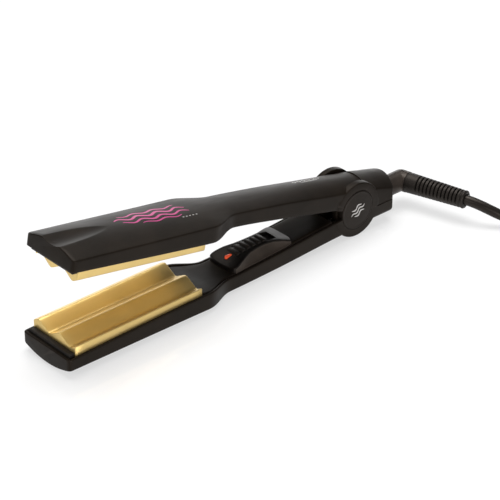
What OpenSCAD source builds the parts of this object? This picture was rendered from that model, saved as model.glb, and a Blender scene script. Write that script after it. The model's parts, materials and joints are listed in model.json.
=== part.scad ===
// Two-arm hair crimper with wave plates, a slide switch and a swivelling mains lead.
// Millimetres, +Z up. The lower arm lies on z = 0 and the jaws stand open on their stop.
// +X runs from the tip to the hinge, and y = 0 is the middle plane of both arms.

/* [Body] */
// Length from the tip to the end of the swivel neck
body_l = 287; // [280:0.5:300]
// Distance from the tip to the hinge axis
hinge_s = 240; // [239:0.5:241]
// Height of the hinge axis above the table
hinge_z = 19.2; // [19.1:0.05:19.4]
// Angle between the arms when they stand open
jaw_open = 10.7; // [9.5:0.1:12]
// Wall thickness of the casings
wall = 2; // [1.8:0.1:2.2]
// Half the width of the plate housing
head_hw = 22.4; // [22.2:0.1:23]
// Half the width of the handle
grip_hw = 14.4; // [14.2:0.1:14.8]

/* [Plates] */
// Half the width of a plate
plate_hw = 20; // [19.8:0.1:20.1]
// Distance from the tip to the front end of a plate
plate_s = 6.5; // [6.3:0.1:7]
// Length of a plate
plate_l = 97.5; // [96:0.5:98]
// Width of one wave of a plate
wave_w = 20; // [10:10:20]
// Height of a wave from its middle line to its crest
wave_a = 2.4; // [1.5:0.1:2.6]
// Thickness of the plate metal
plate_t = 2.4; // [2:0.1:2.6]
// Gap between the plates when the jaws are closed
plate_gap = 0.5; // [0.4:0.1:1.2]

/* [Hinge] */
// Radius of the round bosses on both sides of the hinge
ear_r = 19; // [18.6:0.1:19]
// Radius of the cap on each side of the hinge
cap_r = 13.2; // [12:0.1:13.4]
// Half the width of the upper arm's knuckle
knuckle_hw = 10; // [9:0.1:10]
// Radius of the hinge pin
pin_r = 3; // [2.5:0.1:3]

/* [Switch] */
// Travel of the slide switch
switch_travel = 6; // [3:0.5:7]
// Half the width of the switch thumb piece
thumb_hw = 4.6; // [4:0.1:4.8]

/* [Cord] */
// Diameter of the mains lead
cord_d = 7; // [6.5:0.1:7]
// Height of the swivel axis above the table
swivel_z = 15.5; // [15.3:0.1:15.8]
// Length of the strain relief from the elbow to its end
boot_l = 49; // [45:0.5:52]
// Radius of the outer turns of the coiled lead
coil_ro = 47.6; // [47:0.1:49]

/* [Hidden] */

$fn = 64;
x0 = -body_l / 2;
mid = [hinge_s, 0, hinge_z];

// How deep each line of an arm lies below the closed mid-plane, by distance from the tip
rim_depth = [[0, 6.4], [108, 5], [132, 7.6], [170, 6], [226, 2.5], [250, 1.8]];
crease_depth = [[0, 14], [108, 16], [131, 16.8], [168, 16.2], [226, 13.6], [250, 13.2]];
crown_depth = [[0, 18], [3, 18.5], [30, 19.2], [205, 19.2], [226, 18.8], [250, 18.2]];
cover_depth = [
    [104, 4.4], [110, 5.4], [118, 6.6], [130, 7.4], [150, 6.2], [170, 5.2], [200, 3.2], [224, 2.2]
];

// Stations along an arm: close together at the rounded tip and through the neck
tip_stations = [0, 0.4, 0.9, 1.6, 2.5, 12, 30, 60, 90, 104];
neck_stations = [for (s = [108:3:135]) s];
grip_stations = [145, 158, 170, 185, 200, 213, 226, 240];
arm_end = 245.5;
shell_stations = concat(tip_stations, neck_stations, grip_stations, [arm_end]);
corner_r = 2.5;
neck_start = 108;
neck_end = 132;
shoulder_steps = 5;
crown_flat = 0.42;

// Hinge, swivel block and their clearances
ear_in = knuckle_hw + 0.4;
hub_gap = 0.5;
hub_hw = 13;
seam = 60;
seam_gap = 1;
boss_start = 22;
boss_step = 0.1;
knuckle_r = 15;
knuckle_gap = 0.7;
fit = 0.05;
block_end = 275.5;
block_start = 249.6;
end_bow = 3.2;
block_bottom = 6.4;
neck_r = 6.9;
flange_r = 7.8;
elbow_s = 293.5;
boot_turn = 15.3;

rear_screw_s = 264;
rear_screw_y = 10.9;
cover_screw_s = [124, 208];
boss_s = 236;
knuckle_in = 6.4;
spring_r = 5.4;
spring_wire_r = 0.8;
spring_turns = 4;
spring_span = 7.4;
scoop_r = 26;
elbow_r = 7.2;
boot_plain = 14;
boot_end = 3;
boot_ribs = 12;
boot_profile = [[0, 7], [14, 6.6], [46, 6]];

// Casing colours
casing_black = [0.13, 0.11, 0.1];
heat_black = [0.03, 0.03, 0.03];
plate_gold = [0.78, 0.6, 0.28];
cord_black = [0.04, 0.04, 0.04];

// Inside the arms
cavity_stations = [2.2, 3.4, 5, 30, 90, 108, 114, 120, 126, 132, 170, 226, 234];
cover_stations = concat([105.2], neck_stations, [145, 158, 170, 185, 200, 213, 220]);
board_z = 6;
board_t = 1.6;
skirt_t = 1.4;
skirt_depth = 8.8;
wave_steps = 40;

// Switch panel
panel_stations = [131, 134, 137, 142, 148, 155, 165, 172, 178, 183, 187];
panel_top = [
    [131, 13], [134, 14.2], [142, 17], [148, 18.6], [155, 19.5], [165, 19.9], [172, 19.6],
    [178, 18.8], [183, 17.6], [187, 16.6]
];
panel_hw = [
    [131, 7], [134, 12], [138, 12.4], [144, 11], [155, 7.4], [165, 6.6], [172, 7], [178, 8.6],
    [185, 11], [187, 7]
];
pocket_s0 = 145.6;
pocket_s1 = 178.2;
pocket_z = 16.8;
thumb_s0 = 146;
thumb_s1 = pocket_s1 - switch_travel - 0.4;
thumb_ribs = 6;
stem_s = 158;
lens_s = 140.5;
lens_hw = 1.1;
lens_reach = 1.5;

// Lead: route from the strain relief to the coil, and from the coil to the plug
cord_r = cord_d / 2;
coil_c = [424, -45];
coil_ri = 22.6;
coil_h = 2 * cord_d + 0.2;
tie_t = 0.8;
tie_hw = 4;
tie_turn = 135;
route_in = [
    [304, -39, 15.5], [306.4, -47.3, 15.5], [308.3, -52, 14.9], [310.9, -57, 13.4],
    [314, -62, 11.2], [317.6, -67, 8.7], [322.2, -71.8, 6.4], [328.5, -76.2, 4.7],
    [336, -79.8, 3.9], [345, -82.6, 3.6], [356, -84.9, 3.6], [369, -86.6, 3.6],
    [382, -88, 3.6], [394, -89.4, 3.6], [405.5, -90.7, 3.6]
];
route_out = [
    [436.3, -91, 10.7], [442.6, -89.3, 10.7], [448.9, -87.6, 10.5], [455.1, -85.9, 10.1],
    [461.4, -84.3, 9.6], [467.8, -82.6, 9.1], [475, -79.6, 8.6], [481.2, -74.8, 8.1],
    [486, -68.6, 7.6], [489, -61.4, 7.2], [490, -53.6, 7], [490, -46, 7], [490, -38.5, 7]
];
plug_s = 490;
plug_y = -50.5;
plug_relief_l = 18;
plug_l = 34;
plug_h = 14;
plug_pin_gap = 18.6;
plug_pin_l = 19;
plug_pin_root = 6;
plug_pin_r = 2;
plug_shank_r = 1.7;
plug_shank_out = 0.2;

// Smooth step from a to b while s runs from s0 to s1
function ease(s, s0, s1, a, b) =
    let (t = min(1, max(0, (s - s0) / (s1 - s0))))
    a + (b - a) * t * t * (3 - 2 * t);

// Half width of an arm at distance s from the tip, with rounded front corners
function arm_hw(s) =
    ease(s, neck_start, neck_end, head_hw, grip_hw)
    - (s < corner_r ? corner_r - sqrt(corner_r * corner_r - pow(corner_r - s, 2)) : 0);

// Cross-section of an arm's outside at s, moved inwards by t, with its open edge raised by lift
function arm_section(s, t, lift) =
    let (
        hw = arm_hw(s) - t,
        rim = lookup(s, rim_depth) - lift,
        crease = lookup(s, crease_depth),
        crown = lookup(s, crown_depth) - t,
        flat = hw * crown_flat,
        shoulder = [
            for (i = [0:shoulder_steps])
                let (a = 90 * i / shoulder_steps)
                [flat + (hw - flat) * cos(a), crease + (crown - crease) * sin(a)]
        ]
    )
    concat(
        [[hw, rim]],
        shoulder,
        [for (i = [shoulder_steps:-1:0]) [-shoulder[i][0], shoulder[i][1]]],
        [[-hw, rim]]
    );

// Closed solid through rings of points that all have the same count
module loft(rings) {
    n = len(rings[0]);
    m = len(rings);
    sides = [
        for (i = [0:m - 2], j = [0:n - 1])
            let (a = i * n + j, b = i * n + (j + 1) % n)
            [[a, b, b + n], [a, b + n, a + n]]
    ];
    ends = [[for (j = [n - 1:-1:0]) j], [for (j = [0:n - 1]) (m - 1) * n + j]];
    polyhedron([for (r = rings, p = r) p], concat([for (q = sides, f = q) f], ends), 10);
}

// Arm solid in the closed position: side -1 hangs below the mid-plane, side 1 stands above it
module arm_solid(stations, t, lift, side) {
    rings = [
        for (s = stations)
            [for (p = arm_section(s, t, lift)) [s, p[0], hinge_z + side * p[1]]]
    ];
    loft(side < 0 ? rings : [for (r = rings) [for (i = [len(r) - 1:-1:0]) r[i]]]);
}

// Tube of radius r with n sides along the points of path, turned about the direction ref
module tube(path, r, n, ref) {
    m = len(path);
    function unit(v) = v / norm(v);
    loft([
        for (i = [0:m - 1])
            let (
                t = unit(path[min(i + 1, m - 1)] - path[max(i - 1, 0)]),
                a = unit(cross(ref, t)),
                b = cross(t, a)
            )
            [for (k = [0:n - 1]) path[i] + r * (cos(360 * k / n) * a - sin(360 * k / n) * b)]
    ]);
}

// Turns the upper arm open about the hinge axis
module open_jaw() {
    translate(mid)
        rotate([0, jaw_open, 0])
            translate(-mid)
                children();
}

// Everything is drawn with s measured from the tip, then moved to the object's own origin
module at_origin() {
    translate([x0, 0, 0])
        children();
}

// Cylinder across the arms about the hinge axis, from y = a to y = b
module across(r, a, b) {
    translate([hinge_s, a, hinge_z])
        rotate([-90, 0, 0])
            cylinder(r = r, h = b - a);
}

// The same disc on the near side and on the far side
module both_sides(r, a, b) {
    across(r, a, b);
    across(r, -b, -a);
}

// Wedge about the hinge axis between two angles above +X, from |y| = a outwards
module side_wedge(from, to, a) {
    reach = 60;
    translate([hinge_s, 0, hinge_z])
        for (side = [-1, 1])
            translate([0, side * (a + 10), 0])
                push_y(10, [
                    [0, 0], [reach * cos(from), reach * sin(from)],
                    [reach * cos((from + to) / 2), reach * sin((from + to) / 2)],
                    [reach * cos(to), reach * sin(to)]
                ]);
}

// Cylinder along +X
module along(r, s, l, y, z) {
    translate([s, y, z])
        rotate([0, 90, 0])
            cylinder(r = r, h = l);
}

// Insulated wires of radius r along a chain of points, once on each side of the middle plane
module wire_pair(points, r) {
    for (side = [-1, 1])
        tube([for (p = points) [p[0], side * p[1], p[2]]], r, 8, [0, 0, 1]);
}

// Outline in the y-z plane pushed along +X
module push_x(s, l, points) {
    translate([s, 0, 0])
        rotate([90, 0, 90])
            linear_extrude(l)
                polygon(points);
}

// Outline in the s-z plane pushed to both sides of y = 0
module push_y(hw, points) {
    translate([0, hw, 0])
        rotate([90, 0, 0])
            linear_extrude(2 * hw)
                polygon(points);
}

// Mirrors a lower-arm shape above the closed mid-plane
module flip() {
    translate([0, 0, 2 * hinge_z])
        mirror([0, 0, 1])
            children();
}

// Carries a shape drawn like a lower-arm shape over to the open upper arm
module on_upper() {
    at_origin()
        open_jaw()
            flip()
                children();
}

// Box given by its lowest and highest corner
module block(a, b) {
    translate(a)
        cube(b - a);
}

// ---------------------------------------------------------------- casings

// Outline of the swivel block from above: straight sides and a gently bowed end
module block_outline() {
    polygon(concat(
        [[block_start - 12, -grip_hw], [block_end - end_bow, -grip_hw]],
        [for (u = [-0.8:0.2:0.8]) [block_end - end_bow * u * u, u * grip_hw]],
        [[block_end - end_bow, grip_hw], [block_start - 12, grip_hw]]
    ));
}

// Space that the swivel neck and its flange turn in
module swivel_room() {
    along(neck_r + 0.1, 268, 30, 0, swivel_z);
    along(flange_r + 0.2, 261.5, 6.7, 0, swivel_z);
}

module rear_screw_columns(r, z0, z1) {
    for (y = [-1, 1])
        translate([rear_screw_s, y * rear_screw_y, z0])
            cylinder(r = r, h = z1 - z0);
}

module cover_screw_columns(r, z0, z1) {
    for (s = cover_screw_s)
        translate([s, 0, z0])
            cylinder(r = r, h = z1 - z0);
}

module lower_shell() {
    color(casing_black)
        at_origin() {
            difference() {
                union() {
                    arm_solid(shell_stations, 0, 0, -1);
                    both_sides(cap_r, ear_in, hub_hw);
                    intersection() {
                        across(ear_r, -grip_hw, grip_hw);
                        block([boss_s, -20, -1], [270, 20, swivel_z - 0.05]);
                    }
                    translate([0, 0, block_bottom])
                        linear_extrude(swivel_z - 0.05 - block_bottom)
                            block_outline();
                }
                arm_solid(cavity_stations, wall, 4, -1);
                across(knuckle_r + knuckle_gap, -ear_in, ear_in);
                block([224, -ear_in, 5], [245, ear_in, 50]);
                both_sides(pin_r + 0.02, ear_in - 1, 13.5);
                both_sides(cap_r + 0.15, hub_hw, 16);
                swivel_room();
                block([248, -6, 7.6], [262, 6, 10.4]);
                rear_screw_columns(1.5, 0, 20);
                rear_screw_columns(2.7, 0, 9);
                cover_screw_columns(1.5, -1, 8);
                cover_screw_columns(2.8, -1, 1.2);
            }
            for (s = [146, 192], y = [-8, 8])
                translate([s, y, 1.5])
                    cylinder(r = 1.5, h = board_z - 1.52);
        }
}

module rear_cover() {
    parting = swivel_z + 0.05;
    color(casing_black)
        at_origin()
            difference() {
                union() {
                    intersection() {
                        translate([0, 0, parting])
                            linear_extrude(30)
                                block_outline();
                        push_y(20, [
                            [block_start, 10], [block_start, 36.8], [255, 35.2], [261, 33.6],
                            [267, 32], [block_end, 29.8], [block_end + 1, 10]
                        ]);
                        translate([258, 0, 28])
                            rotate([0, 16.8, 0])
                                push_x(-20, 60, [
                                    [-grip_hw, -40], [-grip_hw, 0], [-11, 2.9], [-7, 5.2],
                                    [-2, 6.8], [2, 6.8], [7, 5.2], [11, 2.9], [grip_hw, 0],
                                    [grip_hw, -40]
                                ]);
                    }
                    intersection() {
                        both_sides(ear_r, ear_in, grip_hw - boss_step);
                        side_wedge(boss_start, seam - seam_gap, knuckle_hw);
                    }
                }
                across(knuckle_r + knuckle_gap, -ear_in, ear_in);
                both_sides(cap_r + 0.15, ear_in - 0.1, 20);
                side_wedge(seam - seam_gap, 100, knuckle_hw);
                swivel_room();
                rear_screw_columns(1.15, 0, 25);
            }
}

// Hollow that a finger presses into at the tip of the upper arm
module thumb_scoop() {
    translate([0, 0, hinge_z + 16.2])
        rotate([0, -4.2, 0])
            along(scoop_r, -10, 70, 0, scoop_r);
}

module upper_shell() {
    color(casing_black)
        at_origin()
            open_jaw()
                difference() {
                    union() {
                        difference() {
                            arm_solid(shell_stations, 0, 0, 1);
                            arm_solid(concat(cavity_stations, [250]), wall, 4, 1);
                        }
                        both_sides(knuckle_r, knuckle_in, knuckle_hw);
                        intersection() {
                            both_sides(ear_r, knuckle_hw, grip_hw);
                            block([boss_s - 20, -20, hinge_z + 2.2], [260, 20, 60]);
                        }
                        intersection() {
                            arm_solid(shell_stations, 0.5, 0, 1);
                            for (side = [-1, 1])
                                translate([222, side * (knuckle_in + knuckle_hw) / 2, hinge_z + 15])
                                    cube([60, knuckle_hw - knuckle_in, 30], center = true);
                            block([222, -20, 0], [245.5, 20, 60]);
                        }
                        flip()
                            for (s = cover_screw_s)
                                translate([s, 0, wall - 0.5])
                                    cylinder(r = 3, h = cover_z(s) - 2.1 - wall + 0.5);
                    }
                    both_sides(cap_r + hub_gap, knuckle_hw, 20);
                    side_wedge(-20, seam + jaw_open, knuckle_hw);
                    across(pin_r + fit, -20, 20);
                    flip()
                        for (s = cover_screw_s)
                            translate([s, 0, cover_z(s) - 9.5])
                                cylinder(r = 1.15, h = 20);
                    thumb_scoop();
                }
}

// Height of the inner cover's face on the lower arm at distance s from the tip
function cover_z(s) = hinge_z - lookup(s, cover_depth);

// Thin cover that closes the open side of a handle, drawn for the lower arm
module cover_solid() {
    loft([
        for (s = cover_stations)
            let (hw = arm_hw(s) - wall - 0.4, z = cover_z(s))
            [
                [s, hw, z - 1], [s, hw, z - 2], [s, -hw, z - 2], [s, -hw, z - 1],
                [s, -hw + 1.4, z], [s, hw - 1.4, z]
            ]
    ]);
}

module lower_inner_cover() {
    color(casing_black)
        at_origin()
            difference() {
                union() {
                    cover_solid();
                    for (s = cover_screw_s)
                        translate([s, 0, wall + 0.1])
                            cylinder(r = 3, h = cover_z(s) - wall - 1.5);
                }
                cover_screw_columns(1.15, 0, 9.5);
                stem_slot();
                lens_hole(0.1);
            }
}

module upper_inner_cover() {
    color(casing_black)
        on_upper()
            difference() {
                cover_solid();
                for (s = cover_screw_s)
                    translate([s, 0, cover_z(s) - 5]) {
                        cylinder(r = 1.5, h = 10);
                        translate([0, 0, 3.9])
                            cylinder(r = 2.6, h = 10);
                    }
            }
}

// ---------------------------------------------------------------- switch and pilot light

// Capsule outline of the pilot light, grown by gap
module lens_column(gap, z0, z1) {
    r = lens_hw + gap;
    for (d = [-1, 1])
        translate([lens_s + d * lens_reach, 0, z0])
            cylinder(r = r, h = z1 - z0);
    block([lens_s - lens_reach, -r, z0], [lens_s + lens_reach, r, z1]);
}

module lens_hole(gap) {
    lens_column(gap, 5, 30);
}

module stem_slot() {
    block([stem_s - 2.3, -2.2, 5], [stem_s + 2.3 + switch_travel, 2.2, 20]);
}

module switch_panel() {
    color([0.05, 0.05, 0.05])
        at_origin()
            difference() {
                loft([
                    for (s = panel_stations)
                        let (
                            hw = lookup(s, panel_hw),
                            top = lookup(s, panel_top),
                            low = cover_z(s) + 0.02
                        )
                        [
                            [s, hw, low], [s, -hw, low], [s, -hw + 0.6, top - 0.7],
                            [s, -hw + 1.4, top], [s, hw - 1.4, top], [s, hw - 0.6, top - 0.7]
                        ]
                ]);
                block([pocket_s0, -5, pocket_z], [pocket_s1, 5, 40]);
                stem_slot();
                lens_hole(0.1);
            }
}

module pilot_lens() {
    color([0.85, 0.2, 0.08])
        at_origin()
            lens_column(0, 10.8, 16.9);
}

module pilot_led() {
    color([0.9, 0.85, 0.8])
        at_origin()
            translate([lens_s, 0, board_z + board_t + 0.02])
                cylinder(r = 1.5, h = 2.7);
}

// Thumb piece with cross ribs, its stem reaches down into the switch body
module switch_slider() {
    rib_pitch = (thumb_s1 - thumb_s0) / thumb_ribs;
    top = [
        for (i = [thumb_ribs - 1:-1:0], e = [[1, 0], [0.62, 0], [0.5, 1], [0.12, 1], [0, 0]])
            let (s = thumb_s0 + (i + e[0]) * rib_pitch)
            [s, lookup(s, panel_top) + 0.1 + e[1] * 0.9]
    ];
    color([0.07, 0.07, 0.07])
        at_origin() {
            push_y(thumb_hw, concat([[thumb_s0, pocket_z + 0.1], [thumb_s1, pocket_z + 0.1]], top));
            block([stem_s - 2, -1.8, 9.3], [stem_s + 2, 1.8, pocket_z + 0.2]);
        }
}

module slide_switch_body() {
    color([0.2, 0.2, 0.22])
        at_origin()
            difference() {
                block([150, -4.5, board_z + board_t + 0.02], [171, 4.5, 10.7]);
                block([stem_s - 2.4, -2.2, 9], [stem_s + 2.4 + switch_travel, 2.2, 20]);
            }
}

module circuit_board() {
    color([0.1, 0.35, 0.15])
        at_origin()
            block([136, -10.4, board_z], [199, 10.4, board_z + board_t]);
}

// ---------------------------------------------------------------- heated plates

// Height of the wave above its middle line across the plate
function wave(y) = wave_a * sin(360 * (plate_hw - y) / wave_w);

// Wave plate with two side skirts: up 1 has its wave on top, up -1 has its wave below
module wave_plate(up) {
    z0 = hinge_z - up * plate_gap / 2;
    edge = plate_hw - skirt_t;
    face = [for (i = [0:wave_steps]) let (y = plate_hw * (2 * i / wave_steps - 1)) [y, z0 + wave(y)]];
    back = [
        for (i = [wave_steps:-1:0])
            let (y = edge * (2 * i / wave_steps - 1))
            [y, z0 + wave(y) - up * plate_t]
    ];
    foot = hinge_z - up * skirt_depth;
    push_x(plate_s, plate_l, concat(
        face, [[plate_hw, foot], [edge, foot]], back, [[-edge, foot], [-plate_hw, foot]]
    ));
}

module lower_plate() {
    color(plate_gold)
        at_origin()
            wave_plate(1);
}

module upper_plate() {
    color(plate_gold)
        at_origin()
            open_jaw()
                wave_plate(-1);
}

// Heat-proof tray under a plate, with the black end block at the tip
module carrier() {
    block([4, -19.7, 5.5], [plate_s + plate_l, 19.7, 6.9]);
    for (side = [-1, 1])
        translate([(plate_s + plate_s + plate_l) / 2, side * 19, 8.5])
            cube([plate_l, 1.4, 3.6], center = true);
    block([2.6, -19.4, 5.5], [plate_s - 0.3, 19.4, 15.2]);
    for (s = [20, 58, 95])
        translate([s, 0, wall + 0.1])
            cylinder(r = 2.5, h = 4);
}

module lower_plate_carrier() {
    color(heat_black)
        at_origin()
            carrier();
}

module upper_plate_carrier() {
    color(heat_black)
        on_upper()
            carrier();
}

module heater() {
    block([20, -12, 11.5], [90, 12, 14]);
}

module lower_heater() {
    color([0.85, 0.83, 0.78])
        at_origin()
            heater();
}

module upper_heater() {
    color([0.85, 0.83, 0.78])
        on_upper()
            heater();
}

module insulation_sheet() {
    block([18, -13, 10.95], [92, 13, 11.45]);
}

module lower_insulation_sheet() {
    color([0.7, 0.6, 0.35])
        at_origin()
            insulation_sheet();
}

module upper_insulation_sheet() {
    color([0.7, 0.6, 0.35])
        on_upper()
            insulation_sheet();
}

// Bent steel strip that presses the heater against the plate
module pressure_spring() {
    push_y(6, [
        [26, 6.95], [40, 6.95], [48, 10.4], [62, 10.4], [70, 6.95], [84, 6.95], [84, 7.45],
        [70.3, 7.45], [62.3, 10.9], [47.7, 10.9], [39.7, 7.45], [26, 7.45]
    ]);
}

module lower_pressure_spring() {
    color([0.75, 0.75, 0.77])
        at_origin()
            pressure_spring();
}

module upper_pressure_spring() {
    color([0.75, 0.75, 0.77])
        on_upper()
            pressure_spring();
}

module thermal_fuse() {
    along(1.6, 44, 12, 15.4, 12.6);
    along(0.5, 38, 24, 15.4, 12.6);
}

module lower_thermal_fuse() {
    color([0.8, 0.75, 0.6])
        at_origin()
            thermal_fuse();
}

module upper_thermal_fuse() {
    color([0.8, 0.75, 0.6])
        on_upper()
            thermal_fuse();
}

module temperature_sensor() {
    color([0.3, 0.15, 0.1])
        at_origin() {
            along(1.2, 60, 6, -15, 12.4);
            along(0.5, 66, 24, -15, 12.4);
        }
}

// ---------------------------------------------------------------- wires inside

module lower_heater_leads() {
    color([0.9, 0.88, 0.85])
        at_origin()
            wire_pair([[90.2, 5, 12.7], [104, 5, 9], [144, 5, 8.7]], 0.8);
}

module upper_heater_leads() {
    color([0.9, 0.88, 0.85])
        on_upper()
            wire_pair([[90.2, 5, 12.7], [104, 5, 7.5], [218, 5, 7.5]], 0.8);
}

module mains_leads() {
    color([0.35, 0.2, 0.1])
        at_origin()
            wire_pair([[261.6, 4.2, 9.1], [251, 4.2, 9.1], [244, 4.2, 6.3], [206, 4.2, 6.3],
                [202, 4.2, 8.6], [193, 4.2, 8.6]], 0.9);
}

// ---------------------------------------------------------------- hinge

module hinge_pin() {
    color([0.75, 0.76, 0.78])
        at_origin()
            across(pin_r, -12.9, 12.9);
}

module near_hinge_cap() {
    color([0.15, 0.12, 0.11])
        at_origin() {
            across(cap_r, -14.6, -13.02);
            across(cap_r - 0.6, -14.9, -14.6);
        }
}

module far_hinge_cap() {
    color([0.15, 0.12, 0.11])
        at_origin() {
            across(cap_r, 13.02, 14.6);
            across(cap_r - 0.6, 14.6, 14.9);
        }
}

// Torsion spring about the pin that opens the jaws
module jaw_spring() {
    steps = 16 * spring_turns;
    coil = [
        for (i = [0:steps])
            let (a = 90 + 360 * spring_turns * i / steps)
            mid + [spring_r * cos(a), spring_span * (i / steps - 0.5), spring_r * sin(a)]
    ];
    first = coil[0];
    last = coil[steps];
    color([0.72, 0.73, 0.75])
        at_origin()
            tube(concat([first + [9, 0, 0], first + [3, 0, 0]], coil, [last + [-3, 0, 0],
                last + [-9, 0, 0]]), spring_wire_r, 8, [0, 1, 0]);
}

// ---------------------------------------------------------------- screws

module lower_cover_screws() {
    color([0.7, 0.7, 0.72])
        at_origin()
            difference() {
                union() {
                    cover_screw_columns(2.5, 0.25, 1.15);
                    cover_screw_columns(1.1, 1.1, 9);
                }
                for (s = cover_screw_s)
                    block([s - 1.8, -0.3, 0], [s + 1.8, 0.3, 0.7]);
            }
}

module rear_cover_screws() {
    color([0.7, 0.7, 0.72])
        at_origin()
            difference() {
                union() {
                    rear_screw_columns(2.4, 7.2, 8.95);
                    rear_screw_columns(1.1, 8.9, 24);
                }
                for (y = [-1, 1])
                    translate([rear_screw_s, y * rear_screw_y, 7])
                        cube([3.6, 0.6, 1.4], center = true);
            }
}

module upper_cover_screws() {
    color([0.7, 0.7, 0.72])
        on_upper()
            for (s = cover_screw_s)
                translate([s, 0, cover_z(s) - 1.05])
                    difference() {
                        union() {
                            cylinder(r = 2.4, h = 0.9);
                            translate([0, 0, -8])
                                cylinder(r = 1.1, h = 8.1);
                        }
                        translate([0, 0, 0.8])
                            cube([3.6, 0.6, 0.9], center = true);
                    }
}

// ---------------------------------------------------------------- swivel and lead

module cord_swivel() {
    color([0.16, 0.13, 0.12])
        at_origin() {
            along(flange_r, 262, 5.8, 0, swivel_z);
            along(neck_r, 267, body_l - 267, 0, swivel_z);
        }
}

// Elbow and ribbed sleeve, swept from the swivel towards the near side
module strain_relief() {
    pitch = (boot_l - boot_plain - boot_end) / boot_ribs;
    ribs = [
        for (i = [0:boot_ribs - 1], e = [[0, 0], [0.15, 1], [0.6, 1], [0.75, 0]])
            let (d = boot_plain + (i + e[0]) * pitch)
            [lookup(d, boot_profile) - 0.9 + 0.9 * e[1], d]
    ];
    color([0.06, 0.055, 0.05])
        at_origin() {
            along(elbow_r, body_l, elbow_s - body_l, 0, swivel_z);
            difference() {
                translate([elbow_s, 0, swivel_z])
                    sphere(elbow_r);
                block([body_l - 10, -10, 0], [body_l, 10, 30]);
            }
            translate([elbow_s, 0, swivel_z])
                rotate([90, 0, boot_turn])
                    difference() {
                        rotate_extrude()
                            polygon(concat(
                                [[0, 0], [boot_profile[0][1], 0], [boot_profile[1][1], boot_plain]],
                                ribs,
                                [[5.6, boot_l - boot_end], [5.6, boot_l], [0, boot_l]]
                            ));
                        translate([0, 0, boot_l - 12])
                            cylinder(r = cord_r + 0.1, h = 20);
                    }
        }
}

module power_cord() {
    color(cord_black)
        at_origin()
            tube(route_in, cord_r, 12, [0, 0, 1]);
}

module cord_tail() {
    color(cord_black)
        at_origin()
            tube(route_out, cord_r, 12, [0, 0, 1]);
}

// Outer shape of the coiled lead
module cord_coil() {
    r0 = coil_ri - cord_r;
    r1 = coil_ro + cord_r;
    color(cord_black)
        at_origin()
            translate([coil_c[0], coil_c[1], 0])
                rotate_extrude() {
                    translate([r0, cord_r])
                        square([r1 - r0, coil_h - cord_d]);
                    translate([r0 + cord_r, 0])
                        square([r1 - r0 - cord_d, coil_h]);
                    for (r = [coil_ri, coil_ro], z = [cord_r, coil_h - cord_r])
                        translate([r, z])
                            circle(cord_r);
                }
}

// Strap round the turns of the coil
module coil_tie() {
    r0 = coil_ri - cord_r;
    r1 = coil_ro + cord_r;
    color([0.1, 0.1, 0.1])
        at_origin()
            translate([coil_c[0], coil_c[1], 0])
                rotate([0, 0, tie_turn])
                    difference() {
                        block([r0 - tie_t, -tie_hw, 0], [r1 + tie_t, tie_hw, coil_h + tie_t]);
                        block([r0, -tie_hw - 1, tie_t], [r1, tie_hw + 1, coil_h]);
                    }
}

// Flat two-pin plug lying on the table, pins towards +Y
module plug_body() {
    color([0.06, 0.06, 0.06])
        at_origin()
            translate([plug_s, plug_y, plug_h / 2])
                difference() {
                    union() {
                        rotate([-90, 0, 0])
                            cylinder(r1 = 4.6, r2 = 6, h = plug_relief_l + 1);
                        intersection() {
                            translate([0, plug_relief_l, -plug_h / 2])
                                linear_extrude(plug_h)
                                    polygon([
                                        [-6.4, 0], [-8.4, 8], [-13.4, 18], [-13.4, plug_l],
                                        [13.4, plug_l], [13.4, 18], [8.4, 8], [6.4, 0]
                                    ]);
                            translate([0, plug_relief_l + plug_l + 1, 0])
                                rotate([90, 0, 0])
                                    linear_extrude(plug_l + 2)
                                        polygon([
                                            [-13.4, -4], [-10.4, -plug_h / 2], [10.4, -plug_h / 2],
                                            [13.4, -4], [13.4, 4], [10.4, plug_h / 2],
                                            [-10.4, plug_h / 2], [-13.4, 4]
                                        ]);
                        }
                    }
                    rotate([-90, 0, 0])
                        translate([0, 0, -1])
                            cylinder(r = cord_r + 0.1, h = 15);
                    plug_pin_pair(plug_shank_r + 0.02, -plug_pin_root, plug_pin_root + 1);
                }
}

// Cylinder on each pin's axis that starts at distance d from the front face of the plug
module plug_pin_pair(r, d, l) {
    for (side = [-1, 1])
        translate([side * plug_pin_gap / 2, plug_relief_l + plug_l + d, 0])
            rotate([-90, 0, 0])
                cylinder(r = r, h = l);
}

module plug_pins() {
    color([0.8, 0.78, 0.72])
        at_origin()
            translate([plug_s, plug_y, plug_h / 2]) {
                plug_pin_pair(plug_shank_r, -plug_pin_root, plug_pin_root + plug_shank_out);
                plug_pin_pair(plug_pin_r, plug_shank_out, plug_pin_l);
            }
}

lower_shell();
lower_inner_cover();
switch_panel();
pilot_lens();
lower_plate();
lower_plate_carrier();
lower_heater();
lower_insulation_sheet();
lower_pressure_spring();
lower_thermal_fuse();
temperature_sensor();
lower_heater_leads();
circuit_board();
slide_switch_body();
pilot_led();
mains_leads();
rear_cover();
hinge_pin();
near_hinge_cap();
far_hinge_cap();
jaw_spring();
lower_cover_screws();
rear_cover_screws();
upper_shell();
upper_inner_cover();
upper_plate();
upper_plate_carrier();
upper_heater();
upper_insulation_sheet();
upper_pressure_spring();
upper_thermal_fuse();
upper_heater_leads();
upper_cover_screws();
switch_slider();
cord_swivel();
strain_relief();
power_cord();
cord_coil();
cord_tail();
coil_tie();
plug_body();
plug_pins();
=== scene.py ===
import json
from math import asin, copysign, cos, degrees, hypot, pi, radians, sin, sqrt, tan

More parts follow.
